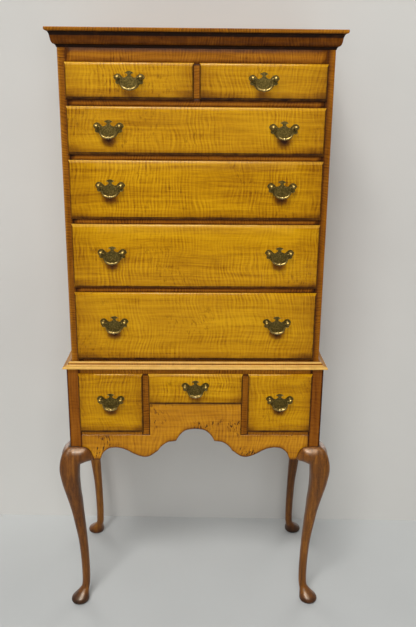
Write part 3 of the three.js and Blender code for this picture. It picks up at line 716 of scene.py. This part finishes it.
def cornice(wood):
    line = stretches(cornice_shares, 5)
    base = upper_top - CORNICE_HEIGHT
    profile = sized(line, CORNICE_REACH, CORNICE_HEIGHT, base) + [(0.0, upper_top)]
    # painted shade at the foot and top and in the cove
    ends, cove = CORNICE_SHADES
    low, high = CORNICE_COVE
    rims = [cove if low <= b <= high else ends for _, b in line] + [ends]
    moulding("cornice", profile, rims, wood, "cornice_moulding")


def waist(wood):
    line = stretches(waist_shares, 5)
    base = joint_height - WAIST_DROP
    top = base + WAIST_HEIGHT
    setback = lower_half - upper_half
    profile = sized(line, WAIST_REACH, WAIST_HEIGHT, base)
    profile += [(SLIP, top), (SLIP, joint_height), (setback, joint_height), (setback, base)]
    # painted shade in the neck, wear with a painted highlight elsewhere
    neck, worn_and_highlit, hidden = WAIST_SHADES
    low, high = WAIST_NECK
    rims = [neck if low < b < high else worn_and_highlit for _, b in line] + [hidden] * 4
    moulding("waist", profile, rims, wood, "waist_moulding")


def both(piece, x, y, z, axes, **settings):
    """The same board on the right and on the left."""
    for span in (x, (-x[1], -x[0])):
        piece.board(span, y, z, axes, **settings)


def upper_frame(wood):
    """Rails, divider, runners, base and cleats."""
    piece = Piece("upper_rails")
    full = (-upper_inner, upper_inner)
    rails = (upper_front, upper_front + RAIL_DEPTH)
    behind = (rails[1], cleat_front)
    under = joint_height
    piece.board(full, behind, (under, under + CASE_BOTTOM), "XY")
    for name in ("fifth", "fourth", "third", "second", "top_left"):
        low, high = fronts[name]
        rail_top = low.z + LIP_OVERLAP
        # painted shadow under the lips, and darker finish, on each rail
        piece.board(full, rails, (under, rail_top), "XZ", rim=RAIL_RIM, dirt=RAIL_SHADE_AND_DIRT)
        floor = max(rail_top - RUNNER_HEIGHT, joint_height + CASE_BOTTOM)
        both(piece, (upper_inner - RUNNER_WIDTH, upper_inner), behind, (floor, rail_top), "YX")
        under = high.z - LIP_OVERLAP
    frieze = (upper_front, upper_front + FRIEZE_THICKNESS)
    cornice_foot = upper_top - CORNICE_HEIGHT
    # the frieze's wide rim is a painted shadow under the cornice
    piece.board(full, frieze, (under, cornice_foot), "XZ", rim=RAIL_RIM)
    piece.board(full, frieze, (cornice_foot, upper_top), "XZ")

    divider = fronts["top_right"][0].x + LIP_OVERLAP
    divider_span = (-divider, divider)
    top_run = (rail_top - RUNNER_HEIGHT, rail_top)
    # painted shade and darker finish on the divider
    piece.board(divider_span, rails, (rail_top, under), "ZX", rim=DIVIDER_RIM, dirt=RAIL_SHADE_AND_DIRT)
    piece.board((-RUNNER_WIDTH, RUNNER_WIDTH), behind, top_run, "YX")
    piece.board(divider_span, behind, (rail_top, rail_top + GUIDE_HEIGHT), "YZ")
    cleats = (cleat_front, cleat_front + CLEAT)
    both(piece, (upper_inner - CLEAT, upper_inner), cleats, (joint_height, upper_top), "ZX")
    piece.board((CLEAT - upper_inner, upper_inner - CLEAT), cleats, top_run, "XZ")
    piece.finish([wood], "upper_frame")


# Lower case
def lower_frame(wood):
    """Rails, dividers, partitions, runners and guides."""
    piece = Piece("lower_rails")
    rails = (lower_front, lower_front + RAIL_DEPTH)
    behind = (rails[1], lower_back_front)
    middle = (divider_inner + divider_outer) / 2
    inner, outer = middle - PARTITION / 2, middle + PARTITION / 2
    run = (lower_rail_top - RUNNER_HEIGHT, lower_rail_top)
    between = (lower_front + post_size, rear - post_size)
    piece.board((-post_inner, post_inner), rails, (lower_rail_bottom, joint_height), "XZ")
    divider, upright = (divider_inner, divider_outer), (apron_top, lower_rail_bottom)
    # painted shade and darker finish on the dividers
    both(piece, divider, rails, upright, "ZX", rim=DIVIDER_RIM, dirt=RAIL_SHADE_AND_DIRT)
    both(piece, (inner, outer), behind, (apron_top, joint_height), "YZ")
    low_rail = (divider_outer, post_inner)
    # painted shade on the rails under the side drawers
    both(piece, low_rail, rails, (apron_top, lower_rail_top), "XZ", rim=EDGE, dirt=LOWER_RAIL_SHADE)
    both(piece, (outer, divider_outer + RUNNER_WIDTH), behind, run, "YX")
    both(piece, (post_inner - RUNNER_WIDTH, post_inner), behind, run, "YX")
    both(piece, (post_inner, skirt_inner), between, (run[0], run[1] + GUIDE_HEIGHT), "YZ")
    depth = (lower_front + APRON_THICKNESS, lower_back_front)
    centre_run = (centre_run_top - RUNNER_HEIGHT, centre_run_top)
    both(piece, (divider_inner - RUNNER_WIDTH, inner), depth, centre_run, "YX")
    piece.finish([wood], "lower_frame")


def scalloped(piece, axes, edge, steps, top_at, front, back, place):
    """A board with a shaped lower edge, in upright rings of points, with one at each step. The place
    of a point comes from its run along the edge, its depth and its height."""
    piece.cut(axes)
    runs, heights = np.array(edge).T
    stations = set(np.linspace(runs[0], runs[-1], round((runs[-1] - runs[0]) / PATTERN_STEP)))
    reaches, shades = zip(*SCALLOP_RIMS)
    dark = [*shades, 0.0, 0.3]
    line = [1.0, 1.0, *dark, 1.0, 1.0, *dark[::-1], 1.0, 1.0]
    bevel = 0.3 * WORN_EDGE
    rings, rims = [], []
    for run in sorted(stations | set(runs) | set(steps)):
        low, high = np.interp(run, runs, heights), top_at(run)
        # painted shade and darker finish near the posts
        near = max(0, 1 - min(run - runs[0], runs[-1] - run) / RAIL_RIM)
        face = [low + reach for reach in reaches] + [high - RIM, high - EDGE]
        ring = [(front + WORN_EDGE, low), (front + bevel, low + bevel)]
        ring += [(front, z) for z in face] + [(front + EDGE, high), (back - EDGE, high)]
        ring += [(back, z) for z in face[::-1]] + [(back - bevel, low + bevel), (back - WORN_EDGE, low)]
        rings.append([place(run, *p) for p in ring])
        rims.append([rim + END_SHADE * near for rim in line])
    piece.loft(rings, rims)


def apron(wood):
    """The scalloped front board, higher under the centre drawer."""
    half = sized(stretches(apron_edge_shares, 6), post_inner, APRON_RISE, apron_tip)
    half.append((post_inner, apron_tip))
    steps = [sign * divider_inner + shift for sign in (-1, 1) for shift in (-TINY, TINY)]
    piece = Piece("apron_board")
    scalloped(
        piece, "XZ", [(-x, z) for x, z in half[:0:-1]] + half, steps,
        lambda x: centre_run_top if abs(x) < divider_inner else apron_top,
        lower_front, lower_front + APRON_THICKNESS, lambda x, y, z: (x, y, z),
    )
    piece.finish([wood], "apron", slot="drawer_maple")


def lower_sides(wood):
    """The side boards between the posts, with their shaped lower edges."""
    start, end = skirt_low.y, skirt_high.y
    half = sized([(0.0, 0.0), *spline(skirt_edge_shares, 6)], end - start, SKIRT_RISE, apron_tip)
    edge = [(start + y, z) for y, z in half] + [(end - y, z) for y, z in half[::-1]]
    for name, sign in (("left", -1), ("right", 1)):
        piece = Piece(name + "_lower_side")
        scalloped(
            piece, "YZ", edge, [], lambda y: joint_height,
            -lower_half, -skirt_inner, lambda y, x, z: (-sign * x, y, z),
        )
        piece.finish([wood], "lower_side_" + name)


def lower_back(wood):
    low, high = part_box("lower_back")
    piece = Piece("lower_back_board")
    joint = low.z + BACK_JOINT_SHARE * (high.z - low.z)
    for levels in ((low.z, joint), (joint, high.z)):
        piece.board((low.x, high.x), (low.y, high.y), levels, "XZ")
    piece.finish([wood], "lower_back", slot="inner_wood")


# Legs
def leg_rings(knee_top):
    """Rounded squares from the knee to the sole, out from the corner of the case."""
    knots = [(h * knee_top, c, w, KNEE_SQUARENESS * h * h) for h, c, w in leg_shares]
    knots += [(h * FOOT_HEIGHT, c, w, 0.0) for h, c, w in foot_shares]
    rings = []
    for height, centre, half, squareness in spline(knots, 4):
        power = 2 / (2 + max(squareness, 0))
        rings.append([])
        for turn in turns(LEG_SIDES):
            shares = [math.copysign(abs(s) ** power, s) for s in (math.cos(turn), math.sin(turn))]
            rings[-1].append([(centre + half * share) * LEG_STOCK for share in shares] + [height])
    return rings


def bracket_rings(knee_top):
    """Half ovals on the face of the apron or skirt, from inside the knee to the bracket's tip."""
    length = post_size + BRACKET_LENGTH - BRACKET_ROOT
    rings = []
    for run, bulge, top, bottom in spline(bracket_shares, 4):
        middle = knee_top - BRACKET_HEIGHT + BRACKET_HEIGHT * (top + bottom) / 2
        half = BRACKET_HEIGHT * (top - bottom) / 2
        rings.append([])
        for turn in turns(BRACKET_SIDES, 0, math.pi * BRACKET_SIDES / (BRACKET_SIDES - 1)):
            out = abs(math.sin(turn)) ** BRACKET_POWER * math.copysign(1, math.sin(turn))
            height = middle + half * math.cos(turn)
            rings[-1].append([-BRACKET_ROOT - run * length, bulge * BRACKET_BULGE * out, height])
    return rings


def melted(lofts):
    """One smooth mesh round several closed skins."""
    rough = Piece("rough")
    for rings in lofts:
        rough.loft(rings)
    body = rough.bake()
    remesh = body.modifiers.new("remesh", "REMESH")
    remesh.mode = "VOXEL"
    remesh.voxel_size = LEG_VOXEL
    smooth = body.modifiers.new("smooth", "SMOOTH")
    smooth.factor = 0.5
    smooth.iterations = LEG_SMOOTHING
    result = bpy.data.meshes.new_from_object(body.evaluated_get(bpy.context.evaluated_depsgraph_get()))
    bpy.data.objects.remove(body)
    for vert in result.vertices:
        if vert.co.z < LEG_VOXEL / 4:
            vert.co.z = 0
    return result


def leg(node, side, end, wood, post_wood):
    """A cabriole leg: a sharp post above, and a knee with its brackets melted into it."""
    corner_x, corner_y = side * lower_half, rear if end > 0 else lower_front
    knee_top = apron_top - KNEE_DROP
    bracket = bracket_rings(knee_top)
    forms = [leg_rings(knee_top), [[(y, x, z) for x, y, z in ring] for ring in bracket]]
    if end < 0:
        forms.insert(1, bracket)
    forms = [[[(corner_x + side * x, corner_y + end * y, z) for x, y, z in r] for r in f] for f in forms]

    def shade(place):
        """Painted shade in the crease between the knee and the case, and darker towards the sole."""
        # painted shade on the rear right leg, a darker tone on the front ones
        dirt = LEG_DARKENING[side, end]
        if place.z <= apron_tip - RIM:
            return dirt + max(0, 1 - place.z / FOOT_HEIGHT)
        out = max(side * (place.x - corner_x), end * (place.y - corner_y))
        return dirt + min(max(1 - out / RIM, 0), 1)

    piece = Piece(node + "_wood")
    piece.take(melted(forms), "ZX", shade)
    x = sorted((corner_x, corner_x - side * post_size))
    y = sorted((corner_y, corner_y - end * post_size))
    piece.material = 1
    # painted shade on the right post
    piece.board(x, y, (apron_tip, joint_height), "ZX", edge=WORN_EDGE, dirt=CASE_POST_SHADE[side])
    piece.finish([wood, post_wood], node, sharp=50)


# Drawers
def lap_plane(name):
    """Where a drawer's sides end, behind its front's face."""
    return fronts[name][0].y + LIP_THICKNESS + SLIP + LAP_DEPTH


def dovetails(base, top):
    """Heights of the tails: bottom and top at their narrow end, then at their wide end."""
    count = max(2, round((top - base) / DOVETAIL_PITCH))
    pitch = (top - base) / count
    narrow, wide = (1 - PIN_SHARE) * pitch / 2, (1 - PIN_TIP_SHARE) * pitch / 2
    middles = [base + (i + 0.5) * pitch for i in range(count)]
    return [(middle - narrow, middle + narrow, middle - wide, middle + wide) for middle in middles]


def wedges(piece, x, shoulder, tip, heights, axes):
    """Tails or pins, by their heights at the shoulder and at the tip."""
    for low, high, low_tip, high_tip in heights:
        outline = [(shoulder, low), (shoulder, high), (tip, high_tip), (tip, low_tip)]
        piece.cut(axes)
        piece.loft([[(level, *p) for p in outline] for level in x], DOVETAIL_SHADE)


def pins(piece, x, shoulder, tip, base, top, cap):
    """The pins of one corner: what the tails leave free."""
    cuts = [(base, base), *[(h, w) for t in dovetails(base, top) for h, w in (t[::2], t[1::2])], (cap, cap)]
    heights = [(low[0], high[0], low[1], high[1]) for low, high in zip(cuts[::2], cuts[1::2])]
    wedges(piece, x, shoulder, tip, heights, "XZ")


def darken_face(piece, name, low, high):
    """Darkens a drawer's face: darker finish and painted shade along its edges, and a painted shadow with
    grime round each pull, most under the bail.
    """
    bottom, right, top, left = LIP_SHADES
    sides = [
        (0, low.x + LIP_SIDE_ROUND, 1, left), (2, low.z + LIP_ROUND, 1, bottom),
        (0, high.x - LIP_SIDE_ROUND, -1, right), (2, high.z - LIP_ROUND, -1, top),
    ]
    spread = min(1.0, (high.x - low.x) / FACE_SPREAD)
    ends, edges, rims = zip(*FACE_RIMS)
    reaches = {0: [spread * reach for reach in ends], 2: edges}
    patches = []
    # painted shadow and grime under and round each pull
    for pull in [pull for pull in pulls if pull.startswith(name)]:
        x, _, level = pull_place(pull)
        for drop, across, up, dark in PULL_SHADOW_AND_GRIME:
            patches.append((x, level - drop, across, up, PULL_SHADOW_SHARES.get(name, 1.0) * dark))
    cuts = [(axis, edge + way * reach) for axis, edge, way, _ in sides for reach in reaches[axis][1:]]
    for x, z, across, up, _ in patches:
        for step in np.linspace(-1, 1, PULL_SHADOW_CUTS).tolist():
            cuts += [(0, x + across * step), (2, z + up * step)]
    for axis, place in cuts:
        faces = [f for f in piece.mesh.faces if all(abs(v.co.y - low.y) < TINY for v in f.verts)]
        lines = dict.fromkeys(edge for f in faces for edge in f.edges)
        corners = dict.fromkeys(vert for f in faces for vert in f.verts)
        way = Vector([float(axis == i) for i in range(3)])
        bmesh.ops.bisect_plane(
            piece.mesh, geom=[*faces, *lines, *corners], dist=CUT_MERGE, plane_co=way * place, plane_no=way
        )
    for vert in piece.mesh.verts:
        if abs(vert.co.y - low.y) > TINY:
            continue
        dark = FRONT_DARKENING[name]
        # darker finish and painted shade along the edges, wear and a painted highlight along the top
        for axis, edge, way, shade in sides:
            dark += shade * float(np.interp(way * (vert.co[axis] - edge), reaches[axis], rims))
        for x, z, across, up, most in patches:
            away = math.hypot((vert.co.x - x) / across, (vert.co.z - z) / up)
            dark += most * max(0.0, 1 - away**2) ** 2
        vert[piece.rim] = dark


def drawer_front(name, wood):
    """The flat face, a step and a rounded lip round it, and the body behind."""
    low, high = fronts[name]
    box_low, box_high = boxes[name]
    back, lap = low.y + LIP_THICKNESS, lap_plane(name)
    # Insets from the sides and from the top and bottom, depth, and how much of the shades shows
    steps = [(LIP_SIDE_ROUND, LIP_ROUND, low.y + y, rim) for y, rim in ((0, 0.45), (0.9 * LIP_STEP, 1.2))]
    arc_depth = LIP_THICKNESS - LIP_STEP - LIP_EDGE
    for i in range(LIP_STEPS + 1):
        turn = i / LIP_STEPS * math.pi / 2
        share, under = 1 - math.sin(turn), 0.0 if i else EDGE / 3
        y = low.y + LIP_STEP + arc_depth * (1 - math.cos(turn))
        steps.append((LIP_SIDE_ROUND * share - under, LIP_ROUND * share - under, y, 1.0 if i else 1.2))
    steps += [(0.0, 0.0, back - 0.3 * EDGE, 0.9), (0.3 * EDGE, 0.3 * EDGE, back, 1.0)]

    def ring(left, right, bottom, top, y, c=LIP_CORNER):
        return [
            (left + c, y, bottom), (right - c, y, bottom), (right, y, bottom + c), (right, y, top - c),
            (right - c, y, top), (left + c, y, top), (left, y, top - c), (left, y, bottom + c),
        ]

    rings = [ring(low.x + i, high.x - i, low.z + j, high.z - j, y) for i, j, y, _ in steps]
    # painted shade on the lip's bottom and sides, wear and a painted highlight on its top
    rims = [[rim * share for share in LIP_SHADES for _ in range(2)] for *_, rim in steps]
    cover = LIP_OVERLAP + FRONT_CLEARANCE
    left, right = low.x + cover, high.x - cover
    bottom, top = low.z + LIP_OVERLAP + SLIP, high.z - cover
    inner_left, inner_right = box_low.x + DRAWER_SIDE, box_high.x - DRAWER_SIDE
    rings += [ring(left, right, bottom, top, y) for y in (back, lap)]
    rings += [ring(inner_left, inner_right, bottom, top, y) for y in (lap, high.y)]
    rims += [[dark] * 8 for dark in (1.0, 0.6, 0.4, 0.2)]
    piece = Piece(name + "_front")
    piece.cut("XZ", FRONT_DARKENING[name])
    piece.loft(rings, rims)
    for x in ((left, inner_left), (inner_right, right)):
        pins(piece, x, high.y, lap, bottom, box_high.z, top)
    darken_face(piece, name, low, high)
    piece.finish([wood], "drawer_front_" + name, body="drawer_" + name, slot="drawer_maple")


def drawer_box(name, wood):
    """Sides with dovetails at both ends, a back and a raised bottom."""
    low, high = boxes[name]
    levels = (low.z, high.z)
    back = high.y - DRAWER_SIDE
    inner = (low.x + DRAWER_SIDE, high.x - DRAWER_SIDE)
    piece = Piece(name + "_box")
    for x in ((low.x, inner[0]), (inner[1], high.x)):
        piece.board(x, (low.y, back), levels, "YZ", edge=WORN_EDGE, rim=LIP_ROUND)
        wedges(piece, x, low.y, lap_plane(name), dovetails(*levels), "YZ")
        wedges(piece, x, back, high.y, dovetails(*levels), "YZ")
        pins(piece, x, back, high.y, *levels, high.z)
    piece.board(inner, (back, high.y), levels, "XZ", edge=WORN_EDGE)
    panel = low.z + DRAWER_BOTTOM
    piece.board(inner, (low.y, back), (panel, panel + DRAWER_BOTTOM), "XY")
    piece.finish([wood], "drawer_box_" + name, body="drawer_" + name, slot="inner_wood")


# Pulls
def pull_place(name):
    """The point between a pull's posts, on the drawer's face."""
    low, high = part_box("pull_plate_" + name)
    return (low.x + high.x) / 2, high.y, high.z - PLATE_TOP


def post(piece, x, face, z):
    profile = sized(spline(post_shares, 3), POST_REACH, BALL_RADIUS)
    start = math.asin(profile[-1][1] / BALL_RADIUS)
    for turn in np.linspace(start, math.pi - BALL_FLAT, BALL_STEPS)[1:]:
        profile.append((POST_REACH - BALL_RADIUS * math.cos(turn), BALL_RADIUS * math.sin(turn)))
    piece.lathe(profile, (x, face, z), SIDES["post"], POST_SHADES, sign=-1)


def pull_plate(name, metal):
    middle, face, level = pull_place(name)
    knots = [(a * PLATE_HALF_WIDTH, b * (PLATE_TOP if b > 0 else PLATE_BOTTOM)) for a, b in plate_shares]
    half = spline(knots, 3).tolist()
    outline = half + [(-x, z) for x, z in half[-2:0:-1]]
    piece = Piece(name + "_plate")
    base = piece.mesh.faces.new([piece.point((middle + x, face, level + z), PLATE_SHADE) for x, z in outline])
    grown = bmesh.ops.extrude_face_region(piece.mesh, geom=[base])["geom"]
    for vert in [g for g in grown if isinstance(g, bmesh.types.BMVert)]:
        vert.co.y -= PLATE_THICKNESS - PLATE_EDGE
    top = [g for g in grown if isinstance(g, bmesh.types.BMFace)]
    round_over = {"thickness": PLATE_EDGE, "depth": PLATE_EDGE, "use_even_offset": True}
    bmesh.ops.inset_region(piece.mesh, faces=top, **round_over)
    for x in (middle - BORING / 2, middle + BORING / 2):
        post(piece, x, face, level)
    for vert in piece.mesh.verts:
        vert[piece.grain] = vert.co + Vector(piece.offset)
    drawer = next(n for n in drawer_names if name.startswith(n))
    piece.finish([metal], "pull_plate_" + name, body="drawer_" + drawer, slot="brass")
    pull_nuts(name, metal, drawer)


def pull_nuts(name, metal, drawer):
    """Washer, square nut and bolt end of each post, inside the drawer."""
    middle, _, level = pull_place(name)
    y = fronts[drawer][1].y
    half = NUT_WIDTH / 2
    nut = (y + washer_profile[-1][0], y + bolt_profile[0][0])
    piece = Piece(name + "_nuts")
    for x in (middle - BORING / 2, middle + BORING / 2):
        piece.lathe(washer_profile, (x, y, level), SIDES["washer"])
        piece.board((x - half, x + half), nut, (level - half, level + half), "YX", edge=NUT_EDGE)
        piece.lathe(bolt_profile, (x, y, level), SIDES["bolt"])
    piece.finish([metal], body="drawer_" + drawer, slot="brass")


def pull_bail(name, metal):
    """A hanging bail, thicker along its bottom, with a bead between two grooves."""
    middle, face, level = pull_place(name)
    y = face - POST_REACH
    knots = [(a * BORING / 2, b * BAIL_DROP, r * WIRE_RADIUS) for a, b, r in bail_shares]
    right = spline(knots, 5).tolist()
    path = right + [(-x, z, r) for x, z, r in right[-2::-1]]
    rings = []
    for before, (x, z, radius), after in zip([path[0], *path], path, [*path[1:], path[-1]]):
        along = Vector((after[0] - before[0], 0, after[1] - before[1])).normalized()
        out = Vector((along.z, 0, -along.x))
        centre = Vector((middle + x, y, level + z))
        spokes = [(math.cos(turn) * out, math.sin(turn)) for turn in turns(SIDES["bail"])]
        rings.append([centre + radius * (spoke + rise * Vector((0, 1, 0))) for spoke, rise in spokes])
    piece = Piece(name + "_bail")
    piece.cut("XZ")
    piece.loft(rings, [[BAIL_SHADE * (1 + z / BAIL_DROP)] for _, z, _ in path])
    half = sized(bead_shares, BEAD_RADIUS, BEAD_RADIUS)
    bead = [(-a, b) for a, b in half[:0:-1]] + half
    groove, crown = BEAD_SHADES
    shades = [groove if b < 0.6 * BEAD_RADIUS else crown for _, b in bead]
    piece.lathe(bead, (middle, y, level - BAIL_DROP), SIDES["bead"], shades, axis=0)
    piece.finish([metal], "pull_bail_" + name, body="bail_" + name, slot="brass")


# Stage, light and camera
WHITE = (1.0, 0.99, 0.97)
COOL = (0.98, 0.99, 1.0)
# Where each lamp stands and what it faces, its size, watts and colour, and rays that don't see it
LAMPS = {
    "key": ((-1.4, -5.1, 7.9), (0, 0, 1.0), (3.0, 2.0), 440, WHITE, None),
    "fill": ((-0.5, -4.6, 3.7), (0, 0, 0.7), (3.0, 1.6), 50, COOL, None),
    "low_fill": ((0.1, -5.6, 1.65), (0, 0, 0.6), (3.0, 1.0), 84, COOL, "glossy"),
    "above": ((-0.3, -1.8, 4.4), (-0.2, -1.3, 0.5), (3.6, 3.2), 420, (1.0, 0.95, 0.86), "diffuse"),
    "back_left": ((-3.2, 4.4, 1.5), (0, 0, 0.9), (2.0, 1.6), 90, WHITE, None),
    "back_right": ((3.2, 4.4, 1.5), (0, 0, 0.9), (2.0, 1.6), 90, WHITE, None),
}
WORLD_COLOUR = (0.92, 0.95, 1.0, 1.0)
WORLD_LEVEL = 0.18
WORLD_SEEN = 0.42  # the pale room behind the object, which varnish and brass also show


def backdrop(name, corners, colour, see_through):
    """A plane of pale matt paint, slightly uneven. A wall is see-through from behind."""
    f = Finish(bpy.data.materials.new(name + "_paint"))
    cloud = f.noise(f.node("TexCoord", {}, "Object"), 1.1, 1.3, 3.0)
    dark = [CLOUD_SHADE * c for c in colour[:3]] + [1.0]
    if see_through:
        clear = f.node("BsdfTransparent", {})
        behind = f.node("NewGeometry", {}, "Backfacing")
        mixed = f.node("MixShader", {0: behind, 1: f.shader.outputs[0], 2: clear})
        f.put(f.nodes["Material Output"].inputs["Surface"], mixed)
    paint = f.mix(f.spread(cloud, 0.3, 0.7), dark, colour)
    data = bpy.data.meshes.new(name)
    data.from_pydata(corners, [], [(0, 1, 2, 3)])
    data.materials.append(f.set(Specular_IOR_Level=0.0, Base_Color=paint, Roughness=0.8))
    plane = added(name, data)
    plane.visible_shadow = False  # lamps behind the wall light the back


def stage():
    (x0, y0), (x1, y1) = [(x, WALL_Y + WALL_SLOPE * x) for x in (-WALL_HALF, WALL_HALF)]
    wall = [(x0, y0, 0), (x1, y1, 0), (x1, y1, WALL_HEIGHT), (x0, y0, WALL_HEIGHT)]
    backdrop("wall", wall, srgb(206, 204, 199), True)
    floor = [(a * FLOOR_HALF, b * FLOOR_HALF, 0) for a, b in ((-1, -1), (1, -1), (1, 1), (-1, 1))]
    backdrop("floor", floor, srgb(192, 194, 193), False)


def lights():
    for name, (place, target, size, power, colour, unseen) in LAMPS.items():
        data = bpy.data.lights.new(name, "AREA")
        data.shape = "RECTANGLE"
        data.size, data.size_y = size
        data.energy = power
        data.color = colour
        light = added(name, data)
        light.location = place
        light.rotation_euler = (Vector(target) - Vector(place)).to_track_quat("-Z", "Y").to_euler()
        light.visible_glossy = unseen != "glossy"
        light.visible_diffuse = unseen != "diffuse"
    f = Finish(bpy.data.worlds.new("world"), "Background")
    rays = [f.node("LightPath", {}, ray) for ray in ("Is Camera Ray", "Is Glossy Ray")]
    strength = f.spread(f.math("MAXIMUM", *rays), 0.0, 1.0, WORLD_LEVEL, WORLD_SEEN)
    bpy.context.scene.world = f.set(Color=WORLD_COLOUR, Strength=strength)


def camera():
    data = bpy.data.cameras.new("camera")
    data.sensor_width = SENSOR
    data.lens = FOCAL_PIXELS * SENSOR / IMAGE_HEIGHT
    view = added("camera", data)
    view.location = CAMERA_PLACE
    view.rotation_euler = [math.radians(turn) for turn in CAMERA_TURNS]
    bpy.context.scene.camera = view


camera()
stage()
lights()
maples = {part: maple(part, **settings) for part, (_, settings) in MAPLES.items()}
inner_wood, brass = bare_wood(), old_brass("brass")
upper_sides(maples["case"])
upper_back(inner_wood, old_brass("nail_iron"))
for build in (top_board, cornice, upper_frame, waist, lower_frame):
    build(maples["case"])
apron(maples["apron"])
lower_sides(maples["case"])
lower_back(inner_wood)
for end, row in ((-1, "front"), (1, "rear")):
    for side, hand in ((-1, "left"), (1, "right")):
        leg(f"leg_{row}_{hand}", side, end, maples["leg"], maples["post"])
for name in drawer_names:
    drawer_front(name, maples["drawer"])
    drawer_box(name, inner_wood)
for name in pulls:
    pull_plate(name, brass)
    pull_bail(name, brass)
bpy.context.scene.view_settings.view_transform = "Standard"
